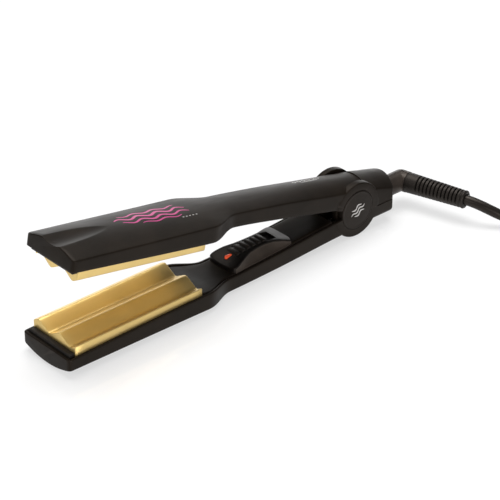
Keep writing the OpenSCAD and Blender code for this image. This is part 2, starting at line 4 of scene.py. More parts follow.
import bmesh
import bpy
import numpy as np
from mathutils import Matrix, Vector


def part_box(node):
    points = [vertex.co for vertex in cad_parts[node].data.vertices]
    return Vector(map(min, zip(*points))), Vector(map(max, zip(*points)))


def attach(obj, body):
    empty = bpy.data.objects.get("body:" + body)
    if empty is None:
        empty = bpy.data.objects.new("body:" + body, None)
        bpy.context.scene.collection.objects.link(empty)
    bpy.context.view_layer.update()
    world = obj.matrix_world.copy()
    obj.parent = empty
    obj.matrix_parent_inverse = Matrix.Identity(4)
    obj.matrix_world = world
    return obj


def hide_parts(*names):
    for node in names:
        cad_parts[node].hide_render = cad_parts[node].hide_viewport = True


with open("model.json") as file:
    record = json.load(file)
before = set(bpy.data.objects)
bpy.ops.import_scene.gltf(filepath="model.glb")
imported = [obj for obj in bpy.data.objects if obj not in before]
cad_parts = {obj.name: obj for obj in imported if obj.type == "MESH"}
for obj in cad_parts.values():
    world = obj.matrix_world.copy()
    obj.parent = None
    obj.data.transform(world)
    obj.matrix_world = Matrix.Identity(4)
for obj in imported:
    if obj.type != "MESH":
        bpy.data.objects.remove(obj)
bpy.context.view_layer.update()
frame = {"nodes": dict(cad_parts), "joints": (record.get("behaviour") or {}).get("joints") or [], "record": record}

# ---- the shared frame
# Lengths below are millimetres; s is the distance from the tip, y the side, z the height.

MM = 0.001
JAW = next(j for j in frame["joints"] if j["name"] == "jaw")
SLIDE = next(j for j in frame["joints"] if j["name"] == "switch_slide")
TIP_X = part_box("lower_shell")[0].x / MM
HINGE_S = JAW["pos_m"][0] / MM - TIP_X
HINGE_Z = JAW["pos_m"][2] / MM
JAW_OPEN = radians(JAW["range_deg"][1])
TRAVEL = SLIDE["range_m"][1] / MM


def to_row(points, arm="lower"):
    """Points in millimetres to the row frame in metres.

    The upper arm is drawn like the lower one, then mirrored and opened.
    """
    p = np.array(points, float).reshape(-1, 3)
    if arm == "upper":
        along = p[:, 0] - HINGE_S
        up = HINGE_Z - p[:, 2]
        p[:, 0] = HINGE_S + along * cos(JAW_OPEN) + up * sin(JAW_OPEN)
        p[:, 2] = HINGE_Z - along * sin(JAW_OPEN) + up * cos(JAW_OPEN)
    p[:, 0] += TIP_X
    return p * MM


def smooth_step(t):
    t = min(1.0, max(0.0, t))
    return t * t * (3 - 2 * t)


def ease(s, s0, s1, a, b):
    return a + (b - a) * smooth_step((s - s0) / (s1 - s0))


def curve_at(table, s):
    """Smooth curve through the table's points that never overshoots them."""
    xs = [p[0] for p in table]
    ys = [p[1] for p in table]
    if s <= xs[0]:
        return ys[0]
    if s >= xs[-1]:
        return ys[-1]
    slopes = [(ys[i + 1] - ys[i]) / (xs[i + 1] - xs[i]) for i in range(len(xs) - 1)]
    i = max(k for k in range(len(slopes)) if xs[k] <= s)

    def tangent(k):
        if k == 0:
            return slopes[0]
        if k == len(slopes):
            return slopes[-1]
        if slopes[k - 1] * slopes[k] <= 0:
            return 0.0
        return 2 / (1 / slopes[k - 1] + 1 / slopes[k])

    h = xs[i + 1] - xs[i]
    t = (s - xs[i]) / h
    m0 = tangent(i) * h
    m1 = tangent(i + 1) * h
    return (
        (2 * t**3 - 3 * t**2 + 1) * ys[i]
        + (t**3 - 2 * t**2 + t) * m0
        + (3 * t**2 - 2 * t**3) * ys[i + 1]
        + (t**3 - t**2) * m1
    )


def spread(a, b, n):
    return [a + (b - a) * i / (n - 1) for i in range(n)]


def circle(n):
    """Angles of n even steps round a full turn."""
    return spread(0, 2 * pi, n + 1)[:-1]


def arc(x, y, r, a0, a1, n, ry=None):
    """Points on an arc about (x, y) between two angles in radians; ry makes it elliptical."""
    ry = r if ry is None else ry
    return [(x + r * cos(a), y + ry * sin(a)) for a in spread(a0, a1, n)]


def add_object(name, data):
    obj = bpy.data.objects.new(name, data)
    bpy.context.scene.collection.objects.link(obj)
    return obj


# ---- camera

def make_camera():
    """The photographer's place, looking down at the object with a long lens."""
    data = bpy.data.cameras.new("camera")
    data.sensor_width = 36
    data.lens = 162
    data.clip_end = 50
    camera = add_object("camera", data)
    camera.location = (-0.7876, -0.9034, 0.7384)
    camera.rotation_euler = (radians(59.104), 0, radians(-41.688))
    bpy.context.scene.camera = camera


# ---- mesh tools

JOIN = 0.002 * MM
SLIVER = 0.001


def rings_mesh(rings, looped=False):
    """Skin over rings with one count of points: a cap at each end, or looped like a strap round a bundle."""
    n = len(rings[0])
    m = len(rings)
    verts = [p for ring in rings for p in ring]
    faces = []
    for i in range(m if looped else m - 1):
        after = (i + 1) % m
        for j in range(n):
            k = (j + 1) % n
            faces.append((i * n + j, i * n + k, after * n + k, after * n + j))
    if not looped:
        faces += [tuple(range(n - 1, -1, -1)), tuple(range((m - 1) * n, m * n))]
    return verts, faces


def clean(mesh):
    """Joins doubled points, drops loose edges and turns every face outwards."""
    bm = bmesh.new()
    bm.from_mesh(mesh)
    bmesh.ops.remove_doubles(bm, verts=bm.verts, dist=JOIN)
    bmesh.ops.dissolve_degenerate(bm, edges=bm.edges, dist=JOIN)
    bmesh.ops.delete(bm, geom=[e for e in bm.edges if not e.link_faces], context="EDGES")
    bmesh.ops.recalc_face_normals(bm, faces=bm.faces)
    bm.to_mesh(mesh)
    bm.free()


def solid(name, parts, arm="lower"):
    """Blender object made of one or more closed skins, given in millimetres."""
    verts = []
    faces = []
    for part_verts, part_faces in parts:
        base = len(verts)
        verts += list(part_verts)
        faces += [tuple(base + i for i in f) for f in part_faces]
    mesh = bpy.data.meshes.new(name)
    mesh.from_pydata([tuple(v) for v in to_row(verts, arm)], [], faces)
    clean(mesh)
    return add_object(name, mesh)


def bake(obj):
    """Applies the object's modifiers to its mesh."""
    bpy.context.view_layer.update()
    graph = bpy.context.evaluated_depsgraph_get()
    mesh = bpy.data.meshes.new_from_object(obj.evaluated_get(graph))
    obj.modifiers.clear()
    obj.data = mesh


def combine(obj, others, operation):
    """Exact boolean of obj with each of the others, which are used up."""
    for other in others:
        modifier = obj.modifiers.new("boolean", "BOOLEAN")
        modifier.operation = operation
        modifier.solver = "EXACT"
        modifier.object = other
        bake(obj)
        bpy.data.objects.remove(other)
    clean(obj.data)
    return obj


def shade(obj, angle):
    mesh = obj.data
    mesh.polygons.foreach_set("use_smooth", [True] * len(mesh.polygons))
    mesh.set_sharp_from_angle(angle=radians(angle))


def piece(obj, material, body, slot, *nodes, angle=32):
    """Gives a finished mesh its material and shading, and puts it on its body in place of CAD nodes."""
    obj.data.materials.clear()
    obj.data.materials.append(material)
    shade(obj, angle)
    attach(obj, body)
    if nodes:
        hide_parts(*nodes)


def lathe_rings(profile, steps, place, start=0.0, sweep=360.0):
    """Skin of a (radius, distance) profile turned about an axis; place puts (a, b, distance) into s, y, z."""
    full = sweep >= 360
    rings = []
    for i in range(steps if full else steps + 1):
        a = radians(start + sweep * i / steps)
        rings.append([place(r * cos(a), r * sin(a), d) for r, d in profile])
    return rings_mesh(rings, looped=full)


def about_hinge(a, b, d):
    return (HINGE_S + a, d, HINGE_Z + b)


def disc_profile(r, y0, y1, edge):
    """Closed profile of a disc with rounded rims, from the axis out and back."""
    out = [(SLIVER, y0), (r - edge, y0)]
    out += [(r - edge + edge * sin(a), y0 + edge - edge * cos(a)) for a in spread(0.3, pi / 2, 4)]
    out += arc(r - edge, y1 - edge, edge, 0, pi / 2 - 0.3, 4)
    return out + [(r - edge, y1), (SLIVER, y1)]


def hinge_disc(name, r, y0, y1, edge, arm="lower"):
    return solid(name, [lathe_rings(disc_profile(r, y0, y1, edge), 96, about_hinge)], arm)


def box_mesh(lo, hi):
    x0, y0, z0 = lo
    x1, y1, z1 = hi
    ring = [(y0, z0), (y1, z0), (y1, z1), (y0, z1)]
    return rings_mesh([[(x0, y, z) for y, z in ring], [(x1, y, z) for y, z in ring]])


def rounded_corners(centres, r, steps):
    """Outline with a round corner about each of four centres, anticlockwise from the lower right one."""
    points = []
    for (x, z), a0 in zip(centres, (-90, 0, 90, 180)):
        points += [(x + r * cos(radians(a)), z + r * sin(radians(a))) for a in spread(a0, a0 + 90, steps)]
    return points


def rounded_ring(hw, z0, z1, r):
    """Rounded rectangle in the y-z plane."""
    return rounded_corners(((hw - r, z0 + r), (hw - r, z1 - r), (r - hw, z1 - r), (r - hw, z0 + r)), r, 5)


def upright(name, r, s, y, z0, z1, arm="lower"):
    """Upright round rod."""
    ring = [(s + r * cos(a), y + r * sin(a)) for a in circle(40)]
    return solid(name, [rings_mesh([[(*p, z) for p in ring] for z in (z0, z1)])], arm)


# ---- materials

class Nodes:
    """Short way to build a procedural material on a Principled shader."""

    def __init__(self, name):
        self.material = bpy.data.materials.new(name)
        self.material.use_nodes = True
        self.tree = self.material.node_tree
        self.shader = self.tree.nodes["Principled BSDF"]
        self.place = self.add("ShaderNodeTexCoord").outputs["Object"]

    def fill(self, node, inputs):
        """Sets inputs by name or index: another node's output is linked, anything else is stored."""
        for key, value in inputs.items():
            socket = node.inputs[key.replace("_", " ") if isinstance(key, str) else key]
            if isinstance(value, bpy.types.NodeSocket):
                self.tree.links.new(value, socket)
            else:
                socket.default_value = value
        return node

    def add(self, kind, **inputs):
        return self.fill(self.tree.nodes.new(kind), inputs)

    def set(self, **inputs):
        self.fill(self.shader, inputs)

    def noise(self, scale, detail=2.0, stretch=(1, 1, 1)):
        place = self.add("ShaderNodeMapping", Vector=self.place, Scale=stretch).outputs["Vector"]
        return self.add("ShaderNodeTexNoise", Vector=place, Scale=scale, Detail=detail).outputs["Fac"]

    def ramp(self, value, low, high, to_low, to_high):
        node = self.add(
            "ShaderNodeMapRange", Value=value, From_Min=low, From_Max=high, To_Min=to_low, To_Max=to_high
        )
        return node.outputs["Result"]

    def mix(self, value, a, b):
        """Colour between a, which may be another node's output, and b."""
        node = self.tree.nodes.new("ShaderNodeMix")
        node.data_type = "RGBA"
        self.fill(node, {0: value, 6: (*a, 1) if isinstance(a, tuple) else a, 7: (*b, 1)})
        return node.outputs[2]

    def tones(self, cloud, low, high, cut=(0.35, 0.65)):
        """Colour that wanders between low and high with the noise."""
        return self.mix(self.ramp(cloud, *cut, 0, 1), low, high)

    def bump(self, height, strength, distance, **before):
        node = self.add("ShaderNodeBump", Height=height, Strength=strength, Distance=distance, **before)
        return node.outputs["Normal"]

    def edges(self, low, high):
        """1 along convex edges, where a highlight and wear are painted, 0 on flat faces."""
        point = self.add("ShaderNodeNewGeometry").outputs["Pointiness"]
        return self.ramp(point, low, high, 0, 1)


SHEEN_TINT = (1.0, 0.87, 0.76)
TONE_SPREAD = 0.25
# Colour added along convex edges: a painted highlight that also stands for wear.
EDGE_HIGHLIGHT_AND_WEAR = (0.012, 0.010, 0.009)


def tint(colour, k):
    return tuple(min(1.0, c * k) for c in colour)


def plastic(name, colour, roughness, grain=900, grain_depth=0.05, specular=0.3):
    """Moulded plastic: fine spark-eroded grain, faint handling marks and convex edges lightened in colour, a
    painted highlight that also stands for wear.
    """
    n = Nodes(name)
    cloud = n.noise(55, 3)
    tone = n.tones(cloud, tint(colour, 1 - TONE_SPREAD), tint(colour, 1 + TONE_SPREAD))
    marks = n.noise(160, 4, (0.25, 1, 1))
    fine = n.bump(n.noise(grain, 2), grain_depth, 0.0002)
    n.set(
        # Painted highlight: convex edges take a lighter colour, which also stands for wear.
        Base_Color=n.mix(n.edges(0.53, 0.6), tone, tuple(c + w for c, w in zip(colour, EDGE_HIGHLIGHT_AND_WEAR))),
        Roughness=n.ramp(marks, 0.3, 0.7, roughness - 0.04, roughness + 0.05),
        Normal=n.bump(cloud, 0.04, 0.0004, Normal=fine),
        Specular_IOR_Level=specular, Specular_Tint=(*SHEEN_TINT, 1),
    )
    return n.material


def metal(name, colour, roughness, streak, metallic=1.0):
    """Drawn or coated metal with fine lines along or across the arm."""
    n = Nodes(name)
    lines = n.noise(1500, 3, streak)
    n.set(
        Base_Color=n.tones(n.noise(40, 3), tint(colour, 0.93), tint(colour, 1.05)),
        Roughness=n.ramp(lines, 0.25, 0.75, roughness - 0.05, roughness + 0.07),
        Normal=n.bump(lines, 0.08, 0.0001),
        Metallic=metallic,
    )
    return n.material


def mottled(
    name, low, high, scale, roughness, detail=3, cut=(0.45, 0.55), swing=0.05, relief=(0.1, 0.0002), **more
):
    """Two-tone stuff such as ceramic, mica, a printed board, a lens, ink or felt."""
    n = Nodes(name)
    spots = n.noise(scale, detail)
    if relief:
        n.set(Normal=n.bump(spots, *relief))
    rough = n.ramp(spots, 0.3, 0.7, roughness - swing, roughness + swing)
    n.set(Base_Color=n.tones(spots, low, high, cut), Roughness=rough, **more)
    return n.material


def ink(name, colour, metallic, roughness):
    """Pad-printed ink with slightly uneven cover."""
    return mottled(
        name, tint(colour, 0.82), colour, 1200, roughness, cut=(0.3, 0.7), relief=None, Metallic=metallic
    )


def make_materials():
    """One material for each of the record's slots, and the two inks."""
    along, across = (0.04, 1, 1), (1, 0.05, 1)
    return {
        "casing": plastic("casing_satin", (0.0078, 0.0054, 0.0035), 0.42, specular=0.13),
        "recess": plastic("recess_grained", (0.034, 0.026, 0.021), 0.5, 1300, 0.25),
        "caps": plastic("cap_satin", (0.013, 0.0100, 0.0080), 0.42, specular=0.15),
        "panel": plastic("panel_half_gloss", (0.0055, 0.0045, 0.004), 0.38, 1500, 0.03, specular=0.16),
        "thumb": plastic("thumb_matt", (0.0065, 0.0058, 0.0055), 0.46, 1300, 0.1),
        # Painted glow: the red lens emits faint light of its own, with no lamp lit behind it.
        "lens": mottled(
            "pilot_lens_red_glowing", (0.62, 0.05, 0.02), (0.9, 0.13, 0.04), 700, 0.23, detail=2, cut=(0.3, 0.7),
            relief=None, Emission_Color=(0.9, 0.1, 0.03, 1), Emission_Strength=0.25,
        ),
        "led": mottled("led_epoxy", (0.75, 0.7, 0.66), (0.85, 0.8, 0.75), 500, 0.25),
        "plates": metal("plate_gold", (0.72, 0.525, 0.20), 0.40, along, metallic=0.8),
        "heat_resin": plastic("heat_resin_black", (0.0035, 0.0033, 0.0032), 0.55, 1200, 0.12),
        "ceramic": mottled("heater_ceramic", (0.78, 0.75, 0.68), (0.86, 0.84, 0.8), 400, 0.6),
        "film": mottled("mica_film", (0.52, 0.40, 0.20), (0.66, 0.54, 0.3), 260, 0.35),
        "steel": metal("bright_steel", (0.62, 0.62, 0.64), 0.28, across),
        "wire": plastic("wire_sleeve", (0.55, 0.53, 0.5), 0.5, 2600, 0.2),
        "board": mottled("circuit_board_green", (0.015, 0.09, 0.03), (0.02, 0.13, 0.05), 300, 0.4),
        "switch": plastic("switch_resin", (0.02, 0.02, 0.022), 0.4),
        "swivel": plastic("swivel_satin", (0.027, 0.021, 0.0175), 0.34),
        "boot": plastic("boot_rubber", (0.0075, 0.0062, 0.0055), 0.5, 1100, 0.12),
        "cord": plastic("cord_pvc", (0.0052, 0.0042, 0.0034), 0.4, 1500, 0.06),
        "strap": mottled(
            "strap_loops", (0.006, 0.006, 0.007), (0.03, 0.03, 0.032), 2600, 0.85, detail=4, cut=(0.35, 0.65),
            swing=0, relief=(0.5, 0.0006), Sheen_Weight=0.3,
        ),
        "plug": plastic("plug_pvc", (0.0065, 0.0060, 0.0058), 0.42, 1400, 0.08),
        "pins": metal("pin_nickel", (0.68, 0.66, 0.6), 0.22, across),
        "magenta": ink("ink_magenta", (0.52, 0.028, 0.20), 0.0, 0.38),
        "silver": ink("ink_silver", (0.55, 0.53, 0.51), 0.6, 0.36),
    }


# ---- shape of an arm

WALL = 2.0
HEAD_HW = 22.4
GRIP_HW = 14.4
TIP_CORNER = 2.5
TIP_EDGE = 0.6
ARM_END = 245.5
UPPER_END = 246.0
HOLLOW_FROM = 2.21
RIM_DEPTH = [(0, 6.4), (108, 5), (132, 7.6), (170, 6), (226, 2.5), (250, 1.8)]
CREASE_DEPTH = [(0, 14), (108, 16), (131, 16.8), (168, 16.2), (226, 13.6), (250, 13.2)]
CROWN_DEPTH = [(0, 18), (3, 18.5), (30, 19.2), (205, 19.2), (226, 18.8), (250, 18.2)]
COVER_DEPTH = [(104, 4.4), (110, 5.4), (118, 6.6), (130, 7.4), (150, 6.2), (170, 5.2), (200, 3.2), (224, 2.2)]
SCOOP_R = 26.0
SCOOP_TILT = radians(4.2)
SCOOP_DEPTH_AT_TIP = 16.2
SCOOP_EDGE = 0.3
CREASE_SOFT = 0.9
RIM_ROUND = 0.7
DOME_SPLIT = 0.4
SCOOP_FADE = (40, 70)
HOLLOW_TO = 234


def arm_hw(s):
    """Half width of an arm's outside, with rounded front corners."""
    hw = ease(s, 108, 132, HEAD_HW, GRIP_HW)
    if s < TIP_CORNER:
        hw -= TIP_CORNER - sqrt(TIP_CORNER**2 - (TIP_CORNER - s) ** 2)
    return hw


def tip_inset(s):
    """How far the outline draws in over the rounded edge of the front face."""
    if s >= TIP_EDGE:
        return 0.0
    return TIP_EDGE - sqrt(TIP_EDGE**2 - (TIP_EDGE - s) ** 2)


def dome_depth(s, y, inset=0.0):
    """Depth of the domed outside at y: a plain arch that meets the side at a crisp crease."""
    hw = arm_hw(s) - inset
    crease = curve_at(CREASE_DEPTH, s)
    crown = curve_at(CROWN_DEPTH, s) - inset
    return crease + (crown - crease) * (1 - min(1.0, abs(y) / hw) ** 2)


def scoop_depth(s, y):
    """Depth of the thumb scoop's round bottom."""
    low = SCOOP_DEPTH_AT_TIP + s * tan(SCOOP_TILT)
    return low + (SCOOP_R - sqrt(SCOOP_R**2 - y * y)) / cos(SCOOP_TILT)


def scoop_hw(s, inset):
    """Half width of the scoop at s, where its bottom meets the dome; 0 behind its end."""
    if scoop_depth(s, 0) >= dome_depth(s, 0, inset):
        return 0.0
    a, b = 0.0, 14.0
    for _ in range(40):
        c = (a + b) / 2
        if scoop_depth(s, c) < dome_depth(s, c, inset):
            a = c
        else:
            b = c
    return a


def dome_half(s, inset, arm):
    """Points (y, depth) over half of the dome, from the middle out, with the scoop's edge on one line."""
    hw = arm_hw(s) - inset
    upper = arm == "upper"
    w = scoop_hw(s, inset) if upper else 0.0
    in_scoop = w > 3 * SCOOP_EDGE
    split = DOME_SPLIT * hw
    edge = max(w, ease(s, *SCOOP_FADE, 3 * SCOOP_EDGE, split) if upper else split)
    points = []
    for y in spread(0, edge - SCOOP_EDGE, 9):
        points.append((y, scoop_depth(s, y) if in_scoop else dome_depth(s, y, inset)))
    last = hw - CREASE_SOFT
    points += [(y, dome_depth(s, y, inset)) for y in spread(edge + SCOOP_EDGE, last, 14)]
    top = dome_depth(s, last, inset)
    corner = curve_at(CREASE_DEPTH, s)
    for t in spread(0, 1, 7)[1:]:
        a, b, c = (1 - t) ** 2, 2 * t * (1 - t), t * t
        points.append((a * last + (b + c) * hw, a * top + b * corner + c * (corner - CREASE_SOFT)))
    return points


def casing_half(s, arm):
    """Outside of half a casing, from the middle of its dome to the top of its rim."""
    inset = tip_inset(s)
    hw = arm_hw(s) - inset
    rim = curve_at(RIM_DEPTH, s) + inset
    low = rim + RIM_ROUND
    points = dome_half(s, inset, arm)
    points += [(hw, d) for d in spread(points[-1][1], low, 5)[1:-1]]
    for a in (0, 30, 60, 90):
        points.append((hw - RIM_ROUND + RIM_ROUND * cos(radians(a)), low - RIM_ROUND * sin(radians(a))))
    return points + [(hw - WALL + 0.5, rim)]


def cavity_half(s, hollow):
    """Inside of half a casing, from its rim to the middle of its floor; flat across where it isn't hollow."""
    inset = tip_inset(s)
    hw = arm_hw(s) - inset - WALL
    rim = curve_at(RIM_DEPTH, s) + inset
    if not hollow:
        return [(y, rim) for y in spread(hw, 0, 14)]
    crease = curve_at(CREASE_DEPTH, s) - CREASE_SOFT
    crown = curve_at(CROWN_DEPTH, s) - WALL
    points = [(hw, rim + 0.4)] + [(hw, d) for d in spread(rim + 1.2, crease, 3)]
    for a in spread(pi / 2, 0, 11)[1:]:
        u = sin(a)
        points.append((hw * u, crease + (crown - crease) * (1 - u * u)))
    return points


def mirrored(half):
    """Whole outline from its half, which starts and ends on the middle line."""
    return half + [(-y, d) for y, d in reversed(half[1:-1])]


def casing_ring(s, hollow, arm):
    """Closed cross-section of a casing at s."""
    return [(s, y, HINGE_Z - d) for y, d in mirrored(casing_half(s, arm) + cavity_half(s, hollow))]


def tip_stations():
    round_off = [TIP_EDGE * (1 - cos(radians(a))) for a in (0, 20, 40, 60, 75, 90)]
    return round_off + [0.9, 1.3, 1.7, 2.2]


def casing(name, hollow_to, end, arm):
    """Trough-shaped casing with a front wall, open towards the other arm."""
    body = [2.8, 3.4, 4.2] + spread(6, 48, 15) + spread(54, 104, 11) + spread(106, 136, 16)
    body += spread(142, 220, 14) + spread(224, end, 9)
    rings = [casing_ring(s, False, arm) for s in tip_stations()]
    rings.append(casing_ring(HOLLOW_FROM, True, arm))
    for s in body:
        if s >= hollow_to > rings[-1][0][0]:
            rings.append(casing_ring(hollow_to, True, arm))
            rings.append(casing_ring(hollow_to + 0.01, False, arm))
        rings.append(casing_ring(s, s < hollow_to, arm))
    return solid(name, [rings_mesh(rings)], arm)


# ---- lower casing with the hinge hub

BOSS_R = 19.0
BOSS_EDGE = 0.9
BOSS_OUT = GRIP_HW + 0.04
HUB_IN = 10.4
SIDE_IN = 10.0
CAP_R = 13.2
CAP_GAP = 0.25
HUB_GAP = 0.5
CAP_FLOOR = 13.0
KNUCKLE_R = 15.0
KNUCKLE_ROOM = 15.7
SEAM_ANGLE = 60.0
SEAM_GAP = 0.7
ROOM_EDGE = 0.05
BLOCK_START = 249.6
BLOCK_END = 275.5
END_BOW = 3.2
END_CORNER = 0.8
BLOCK_BOTTOM = 6.4
PARTING_Z = 15.5
PARTING_GAP = 0.08
SWIVEL_Z = (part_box("cord_swivel")[0].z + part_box("cord_swivel")[1].z) / 2 / MM
NECK_R = 6.9
NECK_GAP = 0.25
NECK_ROOM_S = (268, 298)
FLANGE_ROOM_R = 8
FLANGE_ROOM_S = (261.5, 268.2)
MOUTH_S = (224, 245)
MOUTH_Z = (5, 50)
COVER_SCREW_S = (124, 208)
REAR_SCREW = (264, 10.9)


def boss_sector(side, y_in, start, sweep, arm="lower"):
    """Part of the round boss at one side of the hinge, with a rounded outer edge."""
    inner = CAP_R - 1.0
    profile = [(inner, y_in), (BOSS_R - 0.02, y_in)]
    profile += arc(BOSS_R - BOSS_EDGE, BOSS_OUT - BOSS_EDGE, BOSS_EDGE, 0, pi / 2, 7) + [(inner, BOSS_OUT)]
    profile = [(r, side * d) for r, d in profile]
    return solid("boss", [lathe_rings(profile, max(8, int(sweep / 2)), about_hinge, start, sweep)], arm)


def boss_angle(z):
    """Angle in degrees at which the height z meets the boss's outline."""
    return degrees(asin((z - HINGE_Z) / BOSS_R))


def block_ring(inset, z):
    """Outline of the swivel block from above, drawn in by inset: straight sides and a gently bowed end."""
    hw = GRIP_HW + 0.02 - inset
    end = BLOCK_END - inset
    start = BLOCK_START - 8
    ring = [(start, -hw), (end - END_BOW - END_CORNER, -hw)]
    ring += [(end - END_BOW * u * u, u * hw) for u in spread(-0.95, 0.95, 19)]
    ring += [(end - END_BOW - END_CORNER, hw), (start, hw)]
    return [(s, y, z) for s, y in ring]


def rear_base():
    """Lower half of the block that holds the swivel, with a rounded underside."""
    r = 2.6
    rings = [block_ring(r - r * sin(a), BLOCK_BOTTOM + r - r * cos(a)) for a in spread(0, pi / 2, 7)]
    rings += [block_ring(inset, PARTING_Z - d) for inset, d in ((0, 1), (0, 0.4), (0.3, PARTING_GAP))]
    return solid("rear_base", [rings_mesh(rings)])


def barrel():
    """Curved floor under the knuckle, between the bosses."""
    outer = BOSS_R - 0.11
    hw = HUB_IN + 0.3
    profile = [(KNUCKLE_ROOM, -hw), (outer, -hw), (outer, hw), (KNUCKLE_ROOM, hw)]
    return solid("barrel", [lathe_rings(profile, 48, about_hinge, -104, 93)])


def side_disc(side, r, y_in, y_out=20.0, arm="lower"):
    """Cutting disc about the hinge axis on one side of the arms."""
    y0, y1 = sorted((side * y_in, side * y_out))
    return hinge_disc("room", r, y0, y1, ROOM_EDGE, arm)


def side_wedge(side, start, end, y_in, arm="lower"):
    """Cutting wedge about the hinge axis, between two angles in degrees above +s."""
    reach = 60.0
    angles = [radians(a) for a in spread(start, end, 5)]
    outline = [(HINGE_S, HINGE_Z)]
    outline += [(HINGE_S + reach * cos(a), HINGE_Z + reach * sin(a)) for a in angles]
    rings = [[(s, y, z) for s, z in outline] for y in (side * y_in, side * 20)]
    return solid("wedge", [rings_mesh(rings)], arm)


def swivel_rod(name, r, s0, s1):
    ring = [(r * cos(a), SWIVEL_Z + r * sin(a)) for a in circle(64)]
    return solid(name, [rings_mesh([[(s, y, z) for y, z in ring] for s in (s0, s1)])])


def swivel_rooms():
    """Room in the block for the swivel's neck and flange."""
    neck = swivel_rod("neck_room", NECK_R + NECK_GAP, *NECK_ROOM_S)
    return [neck, swivel_rod("flange_room", FLANGE_ROOM_R, *FLANGE_ROOM_S)]


def knuckle_room():
    """Room between the bosses for the upper arm's knuckles."""
    return hinge_disc("room", KNUCKLE_ROOM, -HUB_IN, HUB_IN, ROOM_EDGE)


def make_lower_shell(mats):
    """Lower casing with the boss, the hub under each cap and the lower half of the swivel block."""
    shell = casing("lower_casing", HOLLOW_TO, ARM_END, "lower")
    parting = boss_angle(PARTING_Z - PARTING_GAP)
    parts = [barrel(), rear_base()]
    for side in (-1, 1):
        parts.append(boss_sector(side, HUB_IN - 0.1, -180 - parting, 180 + 2 * parting))
        parts.append(side_disc(side, CAP_R, HUB_IN, CAP_FLOOR + 0.3))
    combine(shell, parts, "UNION")
    mouth = box_mesh((MOUTH_S[0], -HUB_IN, MOUTH_Z[0]), (MOUTH_S[1], HUB_IN, MOUTH_Z[1]))
    cutters = [knuckle_room(), solid("mouth", [mouth])] + swivel_rooms()
    cutters += [side_disc(side, CAP_R + CAP_GAP, CAP_FLOOR) for side in (-1, 1)]
    cutters += [upright("recess", 2.8, s, 0, -1, 1.2) for s in COVER_SCREW_S]
    cutters += [upright("recess", 2.7, REAR_SCREW[0], y, 0, 9) for y in (-REAR_SCREW[1], REAR_SCREW[1])]
    combine(shell, cutters, "DIFFERENCE")
    piece(shell, mats["casing"], "lower_arm", "casing", "lower_shell")


CAP_EDGE_Y = 14.35
CAP_FACE_Y = 14.6
CAP_DOME = 0.35
CAP_WAVES = ((2.6, 4.4), (0.0, 6.4), (-2.6, 4.4))


def make_hinge_cap(mats, side, name):
    """Slightly domed cap over the hub, with a turned edge and three plain wave lines."""
    rim = CAP_R - 0.7
    face = rim - 0.8
    profile = [(SLIVER, CAP_FLOOR + 0.05), (CAP_R - 0.2, CAP_FLOOR + 0.05), (CAP_R, CAP_FLOOR + 0.25)]
    profile += [(CAP_R, CAP_EDGE_Y)] + arc(rim, CAP_EDGE_Y, 0.7, 0.3, pi / 2, 4, ry=CAP_DOME)
    profile += [(rim - 0.5, 14.62), (face, CAP_FACE_Y)]
    profile += [(r, CAP_FACE_Y + CAP_DOME * (1 - (r / face) ** 2)) for r in spread(rim - 1.2, SLIVER, 14)]
    cap = solid(name + "_cap", [lathe_rings([(r, side * d) for r, d in profile], 128, about_hinge)])
    piece(cap, mats["caps"], "lower_arm", "caps", name + "_hinge_cap", angle=40)
    ribbons = []
    tilt = radians(28)
    for offset, reach in CAP_WAVES:
        ribbon = []
        for a in spread(-reach, reach, 41):
            b = offset + 0.75 * sin(2 * pi * a / 6.4)
            half = 0.5 * (1 - (a / (reach + 0.3)) ** 4) + 0.06
            lift = CAP_FACE_Y + CAP_DOME * (1 - (a * a + b * b) / face**2)
            ribbon.append([
                (
                    HINGE_S + a * cos(tilt) - c * sin(tilt), side * (lift + dl),
                    HINGE_Z + a * sin(tilt) + c * cos(tilt),
                )
                for c, dl in ((b - half, -0.08), (b + half, -0.08), (b + half, 0.05), (b - half, 0.05))
            ])
        ribbons.append(rings_mesh(ribbon))
    piece(solid(name + "_cap_wave_mark", ribbons), mats["silver"], "lower_arm", "caps")


# ---- rear cover over the swivel

REAR_TOP = [(249.6, 36.6), (255.3, 35.0), (261, 33.4), (267, 31.9), (272, 30.6), (275.5, 29.6)]
REAR_CREASE = (258.4, 27.9, 0.30)
REAR_EDGE = 0.8


def rear_roof(s, y):
    """Height of the rear cover's arched roof."""
    crease = REAR_CREASE[1] - (s - REAR_CREASE[0]) * REAR_CREASE[2]
    return crease + (curve_at(REAR_TOP, s) - crease) * (1 - (y / GRIP_HW) ** 2)


def rear_ring(s, hw):
    """Cross-section of the rear cover: straight sides, a crisp crease and an arched roof."""
    low = PARTING_Z + PARTING_GAP
    half = [(0, low), (hw * 0.5, low), (hw - 0.3, low), (hw, low + 0.3)]
    corner = rear_roof(s, hw)
    last = hw - REAR_EDGE
    half += [(hw, z) for z in spread(low + 1, corner - REAR_EDGE, 4)]
    for t in spread(0, 1, 6)[1:]:
        a, b, c = (1 - t) ** 2, 2 * t * (1 - t), t * t
        half.append(((a + b) * hw + c * last, a * (corner - REAR_EDGE) + b * corner + c * rear_roof(s, last)))
    half += [(y, rear_roof(s, y)) for y in spread(last, 0, 18)[1:]]
    return [(s, y, z) for y, z in mirrored(half)]


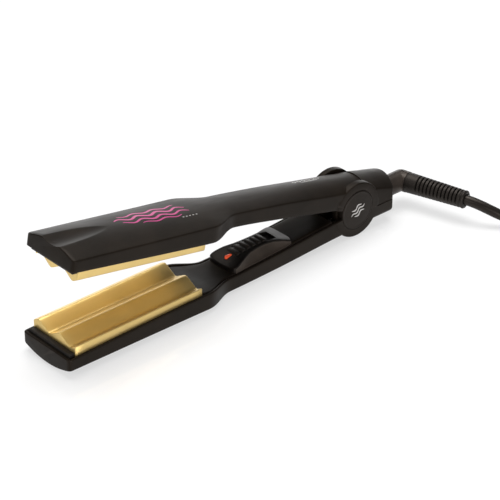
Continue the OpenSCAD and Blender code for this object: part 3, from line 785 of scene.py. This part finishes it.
def make_rear_cover(mats):
    """Upper half of the swivel block, with the rear part of the boss on both sides."""
    bend = BLOCK_END - END_BOW
    rings = [rear_ring(s, GRIP_HW) for s in spread(BLOCK_START, bend - END_CORNER, 14)]
    for u in (0.95, 0.9, 0.84, 0.77, 0.7, 0.6, 0.5, 0.4, 0.3, 0.2, 0.1):
        rings.append(rear_ring(BLOCK_END - END_BOW * u * u, max(u * GRIP_HW, REAR_EDGE + 0.4)))
    cover = solid("rear_housing", [rings_mesh(rings)])
    parting_z = PARTING_Z + PARTING_GAP
    parting = boss_angle(parting_z)
    top = SEAM_ANGLE - SEAM_GAP
    combine(cover, [boss_sector(side, HUB_IN, parting, top - parting) for side in (-1, 1)], "UNION")
    below = box_mesh((235, -20, 5), (290, 20, parting_z))
    cutters = [knuckle_room(), solid("parting", [below])] + swivel_rooms()
    for side in (-1, 1):
        cutters += [side_disc(side, CAP_R + CAP_GAP, HUB_IN - 0.2), side_wedge(side, top, 110, SIDE_IN)]
    combine(cover, cutters, "DIFFERENCE")
    piece(cover, mats["casing"], "lower_arm", "casing", "rear_cover")


# ---- upper casing

def solid_arm_rings(inset, stations):
    """Plain closed sections of an arm without its cavity, drawn in by inset."""
    rings = []
    for s in stations:
        hw = arm_hw(s) - inset
        half = [(y, dome_depth(s, y, inset)) for y in spread(0, hw, 16)] + [(hw, curve_at(RIM_DEPTH, s))]
        other = [(-y, d) for y, d in reversed(half[1:])]
        rings.append([(s, y, HINGE_Z - d) for y, d in half + other])
    return rings


CHEEK_Y = (6.4, 9.94)
KNUCKLE_Y = (6.33, 9.98)


def cheek(side):
    """Side wall of the upper arm's rear end, next to the spring."""
    arm = solid("cheek", [rings_mesh(solid_arm_rings(0.5, spread(222, UPPER_END - 0.3, 9)))], "upper")
    y0, y1 = sorted(side * y for y in CHEEK_Y)
    return combine(arm, [solid("keep", [box_mesh((221, y0, -10), (247, y1, 40))], "upper")], "INTERSECT")


def make_upper_shell(mats):
    """Upper casing with its knuckles and its share of the boss, up to the seam with the rear cover."""
    shell = casing("upper_casing", 300, UPPER_END, "upper")
    seam = SEAM_ANGLE + degrees(JAW_OPEN)
    rim = 180 - degrees(asin(2.3 / BOSS_R))
    bosses = [boss_sector(side, SIDE_IN + 0.06, -rim, rim - seam + 2, "upper") for side in (-1, 1)]
    combine(shell, bosses, "UNION")
    rooms = []
    for side in (-1, 1):
        rooms.append(side_disc(side, CAP_R + HUB_GAP, SIDE_IN - 0.04, arm="upper"))
        rooms.append(side_wedge(side, -seam, 20, SIDE_IN - 0.08, "upper"))
    combine(shell, rooms, "DIFFERENCE")
    sides = [sorted(side * y for y in KNUCKLE_Y) for side in (-1, 1)]
    knuckles = [hinge_disc("knuckle", KNUCKLE_R, y0, y1, 0.4, "upper") for y0, y1 in sides]
    combine(shell, [cheek(-1), cheek(1)] + knuckles, "UNION")
    combine(shell, [hinge_disc("bore", 3.05, -20, 20, 0.02, "upper")], "DIFFERENCE")
    piece(shell, mats["casing"], "upper_arm", "casing", "upper_shell")


def on_top(s, y):
    """Height of the upper casing's outside, as a lower-arm z before it is mirrored."""
    return HINGE_Z - dome_depth(s, y)


def print_line(points, width, taper=True):
    """Thin raised line of ink along (s, y) points on the upper casing."""
    rings = []
    end = len(points) - 1
    for i, (s, y) in enumerate(points):
        before = points[max(0, i - 1)]
        after = points[min(end, i + 1)]
        ds, dy = after[0] - before[0], after[1] - before[1]
        size = hypot(ds, dy)
        half = width / 2
        if taper:
            half *= 0.25 + 0.75 * sin(pi * i / end) ** 0.5
        ring = []
        for e, lift in ((-half, 0.08), (half, 0.08), (half, -0.035), (-half, -0.035)):
            ps, py = s + e * (-dy / size), y + e * (ds / size)
            ring.append((ps, py, on_top(ps, py) + lift))
        rings.append(ring)
    return rings_mesh(rings)


# Each magenta wave: offset from the middle, start, length, height and width of the line
PRINT_WAVES = (
    (8.6, 56, 44, 1.1, 1.5), (4.0, 50, 54, 1.5, 1.9), (-0.8, 54, 50, 1.3, 1.6), (-4.6, 66, 30, 0.9, 1.1),
)
PRINT_PITCH = 15


def make_prints(mats):
    """Generic decoration: magenta waves and silver dashes on the plate housing, a chain by the hinge."""
    waves = []
    for offset, start, reach, height, width in PRINT_WAVES:
        stations = [start + reach * t for t in spread(0, 1, 97)]
        line = [(s, offset + height * sin(2 * pi * (s - 50) / PRINT_PITCH)) for s in stations]
        waves.append(print_line(line, width))
    piece(solid("magenta_waves", waves, "upper"), mats["magenta"], "upper_arm", "casing")
    chain = [print_line(arc(198 + 4.0 * i, 5.0, 1.15, 0, 2 * pi, 33), 0.42, taper=False) for i in range(6)]
    chain.append(print_line([(s, 2.3) for s in spread(201, 216, 19)], 0.45))
    for i in range(5):
        dash = [(s, -7.4) for s in spread(94 + 2.6 * i, 95.2 + 2.6 * i, 6)]
        chain.append(print_line(dash, 0.7, taper=False))
    piece(solid("silver_chain", chain, "upper"), mats["silver"], "upper_arm", "casing")


# ---- inner covers, switch panel, thumb piece

def cover_z(s):
    return HINGE_Z - curve_at(COVER_DEPTH, s)


def cover_ring(s):
    """Inner cover: a plate with soft shoulders, set a little inside the rim."""
    hw = arm_hw(s) - WALL - 0.4
    z = cover_z(s)
    r = 1.3
    flat = r * 0.8
    points = [(-hw + 0.2, z - 2), (hw - 0.2, z - 2), (hw, z - 1.8)]
    points += arc(hw - r, z - flat, r, 0, pi / 2, 6, ry=flat)
    points += [(y, z) for y in spread(hw - r, -hw + r, 7)[1:-1]]
    points += arc(r - hw, z - flat, -r, pi / 2, 0, 6, ry=flat)
    return [(s, *p) for p in points + [(-hw, z - 1.8)]]


def cover_solid(name, arm):
    stations = [105.2] + spread(106.5, 136, 17) + spread(141, 220, 17)
    return solid(name, [rings_mesh([cover_ring(s) for s in stations])], arm)


POCKET_S = (145.6, 178.2)
POCKET_Z = 16.8
STEM_S = 158
THUMB_S = (146.0, 171.8)
THUMB_HW = 4.6
THUMB_RIBS = 6
LENS_S = 142.3
LENS_REACH = 1.5
LENS_HW = 1.1
LENS_Z = (10.8, 17.5)
LENS_DOME = 0.5
PANEL_FRONT = [135.6, 135.7, 135.8, 135.95, 136.1, 136.35, 136.6, 136.9, 137.3, 138]
PANEL_TOP = [
    (135.6, 14.6), (136, 14.8), (142, 17), (148, 18.6), (155, 19.5), (165, 19.9), (172, 19.6), (178, 18.8),
    (183, 17.6), (187, 16.6),
]
PANEL_HW = [
    (135.6, 2.5), (135.8, 5), (136.1, 8), (136.6, 10.2), (137.3, 11.7), (139, 12.0), (144.5, 10.8),
    (155, 7.4), (165, 6.5), (172, 7), (178, 8.8), (185, 11), (187, 7),
]
FOOT_HW = [(135.6, 3), (137.3, 12.0), (138, 12.3), (160, 12.2), (180, 12.1), (185, 11.6), (187, 7.2)]
SLOPE_GAP = 0.12


def capsule(name, gap, z0, z1, dome=0.0):
    """Pilot lens outline raised from z0 to z1, with an optional domed top."""
    def ring(shrink, z):
        r = LENS_HW + gap - shrink
        points = arc(LENS_S + LENS_REACH, 0, r, -pi / 2, pi / 2, 14)
        points += arc(LENS_S - LENS_REACH, 0, r, pi / 2, 3 * pi / 2, 14)
        return [(*p, z) for p in points]

    rings = [ring(0, z0), ring(0, z1)]
    if dome:
        rings += [ring(dome * (1 - cos(a)), z1 + dome * sin(a)) for a in spread(0.2, 1.35, 6)]
    return solid(name, [rings_mesh(rings)])


def stem_slot():
    return solid("slot", [box_mesh((STEM_S - 2.4, -2.2, 4), (STEM_S + 2.4 + TRAVEL, 2.2, 22))])


def make_covers(mats):
    """Inner covers of both arms; the upper one has holes for its screws."""
    lower = cover_solid("lower_inner_face", "lower")
    combine(lower, [stem_slot(), capsule("hole", 0.1, 5, 30)], "DIFFERENCE")
    piece(lower, mats["casing"], "lower_arm", "casing", "lower_inner_cover")
    upper = cover_solid("upper_inner_face", "upper")
    holes = [upright("hole", 2.7, s, 0, cover_z(s) - 1.1, cover_z(s) + 8, "upper") for s in COVER_SCREW_S]
    combine(upper, holes, "DIFFERENCE")
    piece(upper, mats["casing"], "upper_arm", "casing", "upper_inner_cover")


def panel_ring(s):
    """Section of the switch panel's dark top: crowned, with rounded shoulders."""
    hw = curve_at(PANEL_HW, s)
    top = curve_at(PANEL_TOP, s)
    low = cover_z(s) + 0.02
    r = min(0.8, (top - low) * 0.45)
    points = [(-hw, low), (hw, low), (hw, top - r)] + arc(hw - r, top - r, r, 0.25, pi / 2, 5)
    points += [(y, top + 0.12 * (1 - (y / hw) ** 2)) for y in spread(hw - r, -hw + r, 9)[1:-1]]
    points += arc(r - hw, top - r, -r, pi / 2, 0.25, 5, ry=r) + [(-hw, top - r)]
    return [(s, *p) for p in points]


def crescent_ring(s, side):
    """Section of the hollowed slope between the panel's waist and the edge of the cover."""
    inner = curve_at(PANEL_HW, s) + SLOPE_GAP
    outer = max(curve_at(FOOT_HW, s), inner + 0.05)
    low = cover_z(s) + 0.05
    high = max(curve_at(PANEL_TOP, s) - 1.0, low + 0.05)
    points = [(inner + (outer - inner) * t, low + (high - low) * (1 - t) ** 1.7) for t in spread(0, 1, 12)]
    return [(s, side * y, z) for y, z in [(inner, low - 0.4)] + points + [(outer, low - 0.4)]]


def make_switch_panel(mats):
    """Dark top with the slider's pocket, the grained slopes beside it, and the pilot lens."""
    stations = PANEL_FRONT + spread(139, 178, 24) + spread(180, 186.8, 8)
    panel = solid("switch_panel_top", [rings_mesh([panel_ring(s) for s in stations])])
    pocket = solid("pocket", [box_mesh((POCKET_S[0], -5.0, POCKET_Z), (POCKET_S[1], 5.0, 40))])
    combine(panel, [pocket, stem_slot(), capsule("hole", 0.12, 5, 30)], "DIFFERENCE")
    piece(panel, mats["panel"], "lower_arm", "panel", "switch_panel", angle=28)
    slopes = [rings_mesh([crescent_ring(s, side) for s in spread(138.2, 185, 34)]) for side in (-1, 1)]
    piece(solid("switch_panel_slopes", slopes), mats["recess"], "lower_arm", "casing")
    lens = capsule("pilot_lens_dome", 0, *LENS_Z, LENS_DOME)
    piece(lens, mats["lens"], "lower_arm", "lens", "pilot_lens", angle=50)


# Points of one rib of the thumb piece, from the rear: share of the pitch, lift
RIB = (
    (0.98, 0), (0.66, 0), (0.6, 0.35), (0.54, 0.75), (0.46, 0.92), (0.3, 0.95), (0.16, 0.92), (0.08, 0.72),
    (0.03, 0.35),
)
# The thumb piece's rounded sides: distance from the side, drop
THUMB_EDGE = ((0, 0.45), (0.12, 0.2), (0.4, 0.0))


def thumb_profile():
    """Side view of the thumb piece: bevelled ends and round-topped ribs, from the rear to the front."""
    pitch = (THUMB_S[1] - THUMB_S[0]) / THUMB_RIBS
    top = []
    for i in reversed(range(THUMB_RIBS)):
        for e, lift in RIB:
            s = THUMB_S[0] + (i + e) * pitch
            top.append((s, curve_at(PANEL_TOP, s) + 0.1 + lift))
    return top


def make_thumb(mats):
    """Thumb piece of the slide switch with rounded ribs across it."""
    low = POCKET_Z + 0.12
    outline = [(THUMB_S[0] + 0.05, low), (THUMB_S[1] - 0.05, low)] + thumb_profile()
    sides = [(d - THUMB_HW, drop) for d, drop in THUMB_EDGE]
    sides += [(THUMB_HW - d, drop) for d, drop in THUMB_EDGE[::-1]]
    rings = [[(s, y, z - drop if z > low + 0.5 else z) for s, z in outline] for y, drop in sides]
    stem = box_mesh((STEM_S - 2, -1.8, 9.3), (STEM_S + 2, 1.8, low + 0.1))
    thumb = solid("switch_thumb", [rings_mesh(rings), stem])
    piece(thumb, mats["thumb"], "slider", "panel", "switch_slider", angle=40)


# ---- heated plates and their trays

PLATE_HW = 20.0
PLATE_S = 6.5
PLATE_L = 97.5
PLATE_GAP = 0.5
WAVE_W = 20.0
WAVE_A = 2.4
WAVE_PEAK = 0.95
PLATE_T = 2.4
SKIRT_T = 1.4
SKIRT_DEPTH = 8.8
PLATE_ROUND = 0.55
# How the plate's ends are rounded: distance from the end, inset
PLATE_END = ((0, 0.35), (0.1, 0.15), (0.35, 0.0))
TRAY_HW = 19.6
TRAY_Z = 5.5


def wave(y, up):
    """Height of the wave; its crests are a little sharper than a sine's."""
    phase = 2 * pi * (PLATE_HW - y) / WAVE_W
    return up * WAVE_A * asin(WAVE_PEAK * sin(phase)) / asin(WAVE_PEAK)


def plate_section(up, inset):
    """Closed section of a plate with a flat back, drawn as the lower one; up is -1 for the upper plate."""
    hw = PLATE_HW - inset
    face_z = HINGE_Z - PLATE_GAP / 2 - inset
    r = PLATE_ROUND
    face = []
    for y in spread(-hw, hw, 121):
        z = face_z + wave(y, up)
        over = abs(y) - (hw - r)
        if over > 0:
            z -= r - sqrt(max(0.0, r * r - over * over))
        face.append((y, z))
    edge = PLATE_HW - SKIRT_T
    foot = HINGE_Z - SKIRT_DEPTH
    back = HINGE_Z - PLATE_GAP / 2 - WAVE_A - PLATE_T
    under = [(edge, foot), (edge, back), (-edge, back), (-edge, foot)]
    return face + [(hw, foot + 0.3), (hw - 0.3, foot)] + under + [(-hw + 0.3, foot), (-hw, foot + 0.3)]


def make_plate(mats, arm, up):
    """Wave plate with rounded edges and two side skirts."""
    end = PLATE_S + PLATE_L
    stations = [(PLATE_S + d, inset) for d, inset in PLATE_END]
    stations += [(s, 0.0) for s in spread(PLATE_S + 8, end - 8, 12)]
    stations += [(end - d, inset) for d, inset in PLATE_END[::-1]]
    rings = [[(s, *p) for p in plate_section(up, inset)] for s, inset in stations]
    plate = solid(arm + "_wave_plate", [rings_mesh(rings)], arm)
    piece(plate, mats["plates"], arm + "_arm", "plates", arm + "_plate", angle=40)


def slab(s0, s1, hw, z0, z1, r):
    """Box with all its edges rounded."""
    ends = [(s0 + r * (1 - cos(a)), a) for a in spread(0, pi / 2, 4)]
    ends += [(s1 - r * (1 - cos(a)), a) for a in spread(pi / 2, 0, 4)]
    rings = []
    for s, a in ends:
        inset = r * (1 - sin(a))
        rings.append([(s, *p) for p in rounded_ring(hw - inset, z0 + inset, z1 - inset, r)])
    return rings_mesh(rings)


def make_carrier(mats, arm):
    """Tray under the plate: floor, side ribs, feet, and the end block at the tip."""
    end = PLATE_S + PLATE_L
    parts = [slab(4, end, TRAY_HW, TRAY_Z, 6.9, 0.3)]
    verts, faces = slab(PLATE_S, end, 0.7, 6.7, 10.3, 0.2)
    parts += [([(s, y + side * 19, z) for s, y, z in verts], faces) for side in (-1, 1)]
    parts.append(slab(2.35, PLATE_S - 0.25, TRAY_HW, TRAY_Z, 14.9, 0.5))
    parts.append(slab(end + 0.15, end + 1.1, TRAY_HW, TRAY_Z, 14.0, 0.3))
    for s in (20, 58, 95):
        ring = [(s + 2.5 * cos(a), 2.5 * sin(a)) for a in circle(24)]
        parts.append(rings_mesh([[(*p, z) for p in ring] for z in (2.1, 5.8)]))
    tray = solid(arm + "_plate_tray", parts, arm)
    piece(tray, mats["heat_resin"], arm + "_arm", "heat_resin", arm + "_plate_carrier")


# ---- swivel, strain relief and lead

ELBOW_S = 293.5
ELBOW_R = 7.1
BOOT_TURN = radians(15.3)
BOOT_L = 49.0
BOOT_PLAIN = 14.0
BOOT_END = 3.0
BOOT_RIBS = 12
BOOT_PITCH = (BOOT_L - BOOT_PLAIN - BOOT_END) / BOOT_RIBS
BOOT_START = 5.6
BOOT_PROFILE = [(0, 7), (14, 6.7), (46, 6)]
BOOT_SPINE = radians(-28)
COLLAR_R = 6.15
COLLAR_ROUND = 1.2
CORD_D = 7.0
CORD_R = CORD_D / 2
FLANGE_R = 7.8


def on_boot(a, b, d):
    """Point at distance d along the strain relief; a points to the near side of the tip, b up."""
    run_s, run_y = sin(BOOT_TURN), -cos(BOOT_TURN)
    return (ELBOW_S + d * run_s - a * cos(BOOT_TURN), d * run_y - a * sin(BOOT_TURN), SWIVEL_Z + b)


def make_swivel(mats):
    """Neck that turns in the rear block, with its flange inside and the elbow outside."""
    rim = FLANGE_R - 0.2
    profile = [(SLIVER, 262), (rim, 262), (FLANGE_R, 262.2), (FLANGE_R, 267.6), (rim, 267.8)]
    profile += [(NECK_R, 267.9), (NECK_R, 276.4), (NECK_R + 0.12, 277.2), (NECK_R + 0.15, 284)]
    profile += [(ELBOW_R, ELBOW_S - 0.5), (ELBOW_R, ELBOW_S), (SLIVER, ELBOW_S)]
    neck = solid("neck", [lathe_rings(profile, 64, lambda a, b, d: (d, a, SWIVEL_Z + b))])
    profile = [(ELBOW_R * sin(a), -ELBOW_R * cos(a)) for a in spread(0.0005, pi - 0.0005, 33)]
    ball = solid("ball", [lathe_rings(profile, 64, lambda a, b, d: (ELBOW_S + a, b, SWIVEL_Z + d))])
    end = BOOT_START + 0.05
    profile = [(SLIVER, 0), (ELBOW_R, 0), (ELBOW_R - 0.02, BOOT_START), (ELBOW_R - 0.5, end), (SLIVER, end)]
    combine(neck, [ball, solid("arm", [lathe_rings(profile, 64, on_boot)])], "UNION")
    piece(neck, mats["swivel"], "swivel", "swivel", "cord_swivel", angle=45)


def boot_radius(d, angle):
    """Radius of the strain relief: ribs cut by slots, which two spines bridge."""
    base = curve_at(BOOT_PROFILE, d)
    if d < BOOT_PLAIN or d > BOOT_L - BOOT_END:
        return base
    t = ((d - BOOT_PLAIN) / BOOT_PITCH) % 1.0
    slot = smooth_step((t - 0.02) / 0.16) * smooth_step((0.5 - t) / 0.16)
    open_here = smooth_step((abs(sin(angle - BOOT_SPINE)) - 0.22) / 0.22)
    return base - 0.25 * slot - 1.25 * slot * open_here


def boot_ring(d, r=None):
    """Ring about the strain relief's axis, of radius r or, without it, ribbed."""
    radii = [(a, boot_radius(d, a) if r is None else r) for a in circle(72)]
    return [on_boot(r * cos(a), r * sin(a), d) for a, r in radii]


def make_boot(mats):
    """Ribbed rubber sleeve with a rounded collar at its end."""
    start = curve_at(BOOT_PROFILE, BOOT_START)
    front = [(4.0, 0.1), (start - 0.4, 0.1), (start - 0.1, 0.2), (start, 0.5)]
    rings = [boot_ring(BOOT_START + d, r) for r, d in front]
    rings += [boot_ring(d) for d in (8, 11, 13, BOOT_PLAIN)]
    for i in range(BOOT_RIBS):
        for t in (0.02, 0.07, 0.13, 0.18, 0.26, 0.34, 0.4, 0.45, 0.5, 0.62, 0.75, 0.88):
            rings.append(boot_ring(BOOT_PLAIN + (i + t) * BOOT_PITCH))
    end = BOOT_L - BOOT_END
    rear = [(5.5, end + 0.1), (5.5, end + 0.5), (COLLAR_R - 0.3, end + 0.7)]
    rear += arc(COLLAR_R - COLLAR_ROUND, BOOT_L - COLLAR_ROUND, COLLAR_ROUND, 0, pi / 2, 6)
    rear += [(CORD_R + gap, BOOT_L - d) for gap, d in ((0.5, 0), (0.2, 0.3), (0.1, 2), (0.1, 10))]
    rings += [boot_ring(d, r) for r, d in rear]
    boot = solid("strain_relief_sleeve", [rings_mesh(rings)])
    piece(boot, mats["boot"], "swivel", "boot", "strain_relief", angle=50)
    return boot


# The lead's route in millimetres: from the strain relief to the coil, then from the coil to the plug.
ROUTE_IN = [
    (304, -39, 15.5), (306.4, -47.3, 15.5), (308.3, -52, 14.9), (310.9, -57, 13.4), (314, -62, 11.2),
    (317.6, -67, 8.7), (322.2, -71.8, 6.4), (328.5, -76.2, 4.7), (336, -79.8, 3.9), (345, -82.6, 3.6),
    (356, -84.9, 3.6), (369, -86.6, 3.6), (382, -88, 3.6), (394, -89.4, 3.6), (405.5, -90.7, 3.6),
]
ROUTE_OUT = [
    (436.3, -91, 10.7), (442.6, -89.3, 10.7), (448.9, -87.6, 10.5), (455.1, -85.9, 10.1),
    (461.4, -84.3, 9.6), (467.8, -82.6, 9.1), (475, -79.6, 8.6), (481.2, -74.8, 8.1),
    (486, -68.6, 7.6), (489, -61.4, 7.2), (490, -53.6, 7), (490, -46, 7), (490, -38.5, 7),
]
COIL_C = (424.0, -45.0)
COIL_RO = 47.6
COIL_RI = 22.6
COIL_Z = (3.6, 10.7)
COIL_H = 14.2
COIL_START = 262.0
COIL_TURNS = 3.53194


def coil_points():
    """Turns of the coil: inwards on the table, up at the middle, and outwards on top."""
    total = 2 * COIL_TURNS
    steps = int(total * 72)
    points = []
    for i in range(1, steps):
        turn = total * i / steps
        a = radians(COIL_START + 360 * turn)
        if turn < COIL_TURNS:
            r = COIL_RO + (COIL_RI - COIL_RO) * turn / COIL_TURNS
        else:
            r = COIL_RI + (COIL_RO - COIL_RI) * (turn - COIL_TURNS) / COIL_TURNS
        z = ease(turn, COIL_TURNS - 0.35, COIL_TURNS + 0.25, *COIL_Z)
        points.append((COIL_C[0] + r * cos(a), COIL_C[1] + r * sin(a), z))
    return points


def smooth_route(points, parts):
    """Catmull-Rom curve through the given points."""
    p = [np.array(q, float) for q in points]
    p = [2 * p[0] - p[1]] + p + [2 * p[-1] - p[-2]]
    out = []
    for a, b, c, d in zip(p, p[1:], p[2:], p[3:]):
        for t in (k / parts for k in range(parts)):
            bend = (2 * a - 5 * b + 4 * c - d) * t * t
            out.append(0.5 * (2 * b + (c - a) * t + bend + (3 * b - a - 3 * c + d) * t**3))
    return out + [p[-2]]


def make_cord(mats, plug_parts):
    """The whole lead as one curve, from inside the strain relief to inside the plug."""
    path = smooth_route(ROUTE_IN, 3) + [np.array(q) for q in coil_points()] + smooth_route(ROUTE_OUT, 3)
    row = to_row(path)
    curve = bpy.data.curves.new("mains_lead", "CURVE")
    curve.dimensions = "3D"
    curve.bevel_depth = CORD_R * MM
    curve.bevel_resolution = 6
    curve.use_fill_caps = True
    spline = curve.splines.new("POLY")
    spline.points.add(len(row) - 1)
    spline.points.foreach_set("co", [c for p in row for c in (*p, 1.0)])
    spline.use_smooth = True
    cord = add_object("mains_lead", curve)
    curve.materials.append(mats["cord"])
    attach(cord, "swivel")
    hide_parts("power_cord", "cord_coil", "cord_tail")
    length = float(np.sum(np.linalg.norm(np.diff(row, axis=0), axis=1)))
    print("lead length", round(length, 3))
    exit_point = to_row([on_boot(0, 0, BOOT_L)])[0]


TIE_TURN = radians(135)
TIE_HW = 4.0
TIE_T = 0.8
TIE_CORNER = 3.6
TIE_LOW = 0.45


def at_tie(r, side, z):
    """Point at radius r from the coil's middle, on the strap's line or beside it."""
    c, s = cos(TIE_TURN), sin(TIE_TURN)
    return (COIL_C[0] + r * c - side * s, COIL_C[1] + r * s + side * c, z)


def make_tie(mats):
    """Hook-and-loop strap round the bundle, with its free end pressed flat on top."""
    r0 = COIL_RI - CORD_R - 0.4
    r1 = COIL_RO + CORD_R + 0.4
    top = COIL_H + 0.35
    corner = TIE_CORNER
    foot, head = TIE_LOW + corner, top - corner
    centres = ((r1 - corner, foot), (r1 - corner, head), (r0 + corner, head), (r0 + corner, foot))
    inside = rounded_corners(centres, corner, 7)
    outside = rounded_corners(centres, corner + TIE_T * 0.55, 7)
    rings = []
    for (ri, zi), (ro, zo) in zip(inside, outside):
        zi, zo = max(zi, 0.35), max(zo, 0.02)
        inner = [at_tie(ri, -TIE_HW, zi), at_tie(ri, TIE_HW, zi)]
        rings.append(inner + [at_tie(ro, TIE_HW - 0.1, zo), at_tie(ro, -TIE_HW + 0.1, zo)])
    tail = []
    hw = TIE_HW - 0.3
    low = top + 0.45 + 0.02
    for t in spread(0, 1, 12):
        r = r0 + 7 + 15 * t
        high = low + 0.7 * (1 - t * 0.15)
        tail.append([at_tie(r, -hw, low), at_tie(r, hw, low), at_tie(r, hw, high), at_tie(r, -hw, high)])
    tie = solid("coil_strap", [rings_mesh(rings, looped=True), rings_mesh(tail)])
    piece(tie, mats["strap"], "swivel", "strap", "coil_tie", angle=40)
    return tie


PLUG_S = 490.0
PLUG_Y = -50.5
PLUG_RELIEF = 18.0
PLUG_L = 34.0
PLUG_Z = 7.0
PIN_GAP = 18.6
PIN_L = 19.0
PIN_R = 2.0
PLUG_HW = [(0, 6.2), (5, 7.0), (9, 9.0), (14, 11.8), (18, 13.2), (24, 13.4), (34, 13.4)]
PLUG_HH = [(0, 5.9), (6, 6.4), (14, 6.9), (34, 7.0)]
SLOT_PITCH = 1.9


def plug_ring(d, inset=0.0):
    """Superellipse section of the plug at distance d from the start of its body."""
    hw = curve_at(PLUG_HW, d) - inset
    hh = curve_at(PLUG_HH, d) - inset
    power = 2 / ease(d, 0, 14, 2.2, 3.2)
    ring = []
    for a in circle(64):
        across = hw * copysign(abs(cos(a)) ** power, cos(a))
        up = hh * copysign(abs(sin(a)) ** power, sin(a))
        ring.append((PLUG_S + across, PLUG_Y + PLUG_RELIEF + d, PLUG_Z + up))
    return ring


def on_pins(name, profile):
    """One turned shape on both of the plug's pins."""
    front = PLUG_Y + PLUG_RELIEF + PLUG_L
    skins = []
    for side in (-1, 1):
        s = PLUG_S + side * PIN_GAP / 2
        skins.append(lathe_rings(profile, 32, lambda a, b, d: (s + a, front + d, PLUG_Z + b)))
    return solid(name, skins)


def make_plug(mats):
    """Flat two-pin plug: waisted grip, moulded strain relief with slots, sleeved pins."""
    rings = [plug_ring(d) for d in (0.0, 2, 4, 6, 8, 10, 12, 14, 16, 18, 20, 23)]
    for i in range(4):
        d = 24 + SLOT_PITCH * i
        rings += [plug_ring(d), plug_ring(d + 0.25, 0.45), plug_ring(d + 0.85, 0.45), plug_ring(d + 1.1)]
    rings += [plug_ring(32.6), plug_ring(33.3, 0.12), plug_ring(33.8, 0.5), plug_ring(34, 1.1)]
    body = solid("plug_grip", [rings_mesh(rings)])
    bore = CORD_R + 0.15
    profile = [(bore, 2), (bore, 0.4), (4.0, 0), (4.5, 0.2), (4.7, 0.8)]
    for i in range(8):
        r = 4.75 + 0.16 * i
        d = 1.0 + SLOT_PITCH * i
        profile += [(r, d), (r, d + 1.0), (r - 0.75, d + 1.15), (r - 0.75, d + 1.75)]
    profile += [(6.0, PLUG_RELIEF - 1.0), (6.0, PLUG_RELIEF + 1.0), (bore, PLUG_RELIEF + 1.0)]
    relief = lathe_rings(profile, 48, lambda a, b, d: (PLUG_S + a, PLUG_Y + d, PLUG_Z + b))
    sleeve = solid("plug_relief", [relief])
    piece(body, mats["plug"], "swivel", "plug", "plug_body", angle=38)
    piece(sleeve, mats["plug"], "swivel", "plug", angle=38)
    pin = [(SLIVER, -2), (PIN_R - 0.25, -2), (PIN_R - 0.25, 9.6), (PIN_R, 9.8)]
    pin += arc(PIN_R - 0.9, PIN_L - 0.7, 0.9, 0, pi / 2 - 0.15, 6) + [(SLIVER, PIN_L + 0.2)]
    contacts = on_pins("plug_contacts", pin)
    piece(contacts, mats["pins"], "swivel", "pins", "plug_pins", angle=45)
    r0, r1 = PIN_R - 0.2, PIN_R - 0.04
    guards = on_pins("plug_pin_sleeves", [(r0, -1), (r1, -1), (r1, 9.4), (r0, 9.5)])
    piece(guards, mats["plug"], "swivel", "plug", angle=45)
    return [body, sleeve, contacts, guards]


# ---- pieces kept from the CAD model

def finish_cad_nodes(mats):
    """Every CAD node that still shows, or lies inside, takes its slot's procedural material."""
    for part in frame["record"]["subparts"]:
        obj = frame["nodes"][part["node"]]
        obj.data.materials.clear()
        obj.data.materials.append(mats[part["material_slot"]])


# ---- floor and light

def make_floor():
    """Plain white table with a soft gloss."""
    size = 6.0
    mesh = bpy.data.meshes.new("table")
    corners = [(-size, -size, 0), (size, -size, 0), (size, size, 0), (-size, size, 0)]
    mesh.from_pydata(corners, [], [(0, 1, 2, 3)])
    table = add_object("table", mesh)
    n = Nodes("table_white")
    cloud = n.noise(6, 2)
    n.set(
        Base_Color=n.mix(cloud, (0.40, 0.40, 0.40), (0.42, 0.42, 0.42)),
        Roughness=n.ramp(cloud, 0.3, 0.7, 0.05, 0.07),
        Emission_Color=(1, 1, 1, 1), Emission_Strength=0.58, Specular_IOR_Level=0.9,
    )
    mesh.materials.append(n.material)


def area_light(name, place, target, size_x, size_y, power):
    data = bpy.data.lights.new(name, "AREA")
    data.shape = "RECTANGLE"
    data.size = size_x
    data.size_y = size_y
    data.energy = power
    light = add_object(name, data)
    light.location = place
    light.rotation_euler = (Vector(target) - Vector(place)).to_track_quat("-Z", "Y").to_euler()


def make_light():
    """Large overhead box, a low band behind the object, and weak fills from the left and the near side."""
    world = bpy.data.worlds.new("studio")
    bpy.context.scene.world = world
    world.use_nodes = True
    sky = world.node_tree.nodes["Background"].inputs
    sky["Color"].default_value = (1, 1, 1, 1)
    sky["Strength"].default_value = 0.24
    area_light("overhead", (0.25, 0.35, 1.5), (0.0, 0.0, 0.0), 1.3, 1.0, 25)
    area_light("far_band", (1.05, 1.25, 0.26), (0.0, 0.0, 0.05), 2.6, 0.42, 7.5)
    area_light("left_fill", (-1.4, -0.2, 0.8), (0.0, 0.0, 0.0), 0.8, 0.8, 5)
    area_light("near_fill", (-0.25, -1.2, 0.4), (-0.05, 0.0, 0.02), 0.7, 0.4, 7)


# ---- assembly

def main():
    bpy.context.scene.view_settings.view_transform = "Standard"
    make_camera()
    mats = make_materials()
    finish_cad_nodes(mats)
    boot = make_boot(mats)
    tie = make_tie(mats)
    make_cord(mats, [tie] + make_plug(mats))
    make_swivel(mats)
    make_lower_shell(mats)
    make_rear_cover(mats)
    make_upper_shell(mats)
    make_prints(mats)
    make_hinge_cap(mats, -1, "near")
    make_hinge_cap(mats, 1, "far")
    make_covers(mats)
    make_switch_panel(mats)
    make_thumb(mats)
    make_plate(mats, "lower", 1)
    make_plate(mats, "upper", -1)
    make_carrier(mats, "lower")
    make_carrier(mats, "upper")
    make_floor()
    make_light()


main()
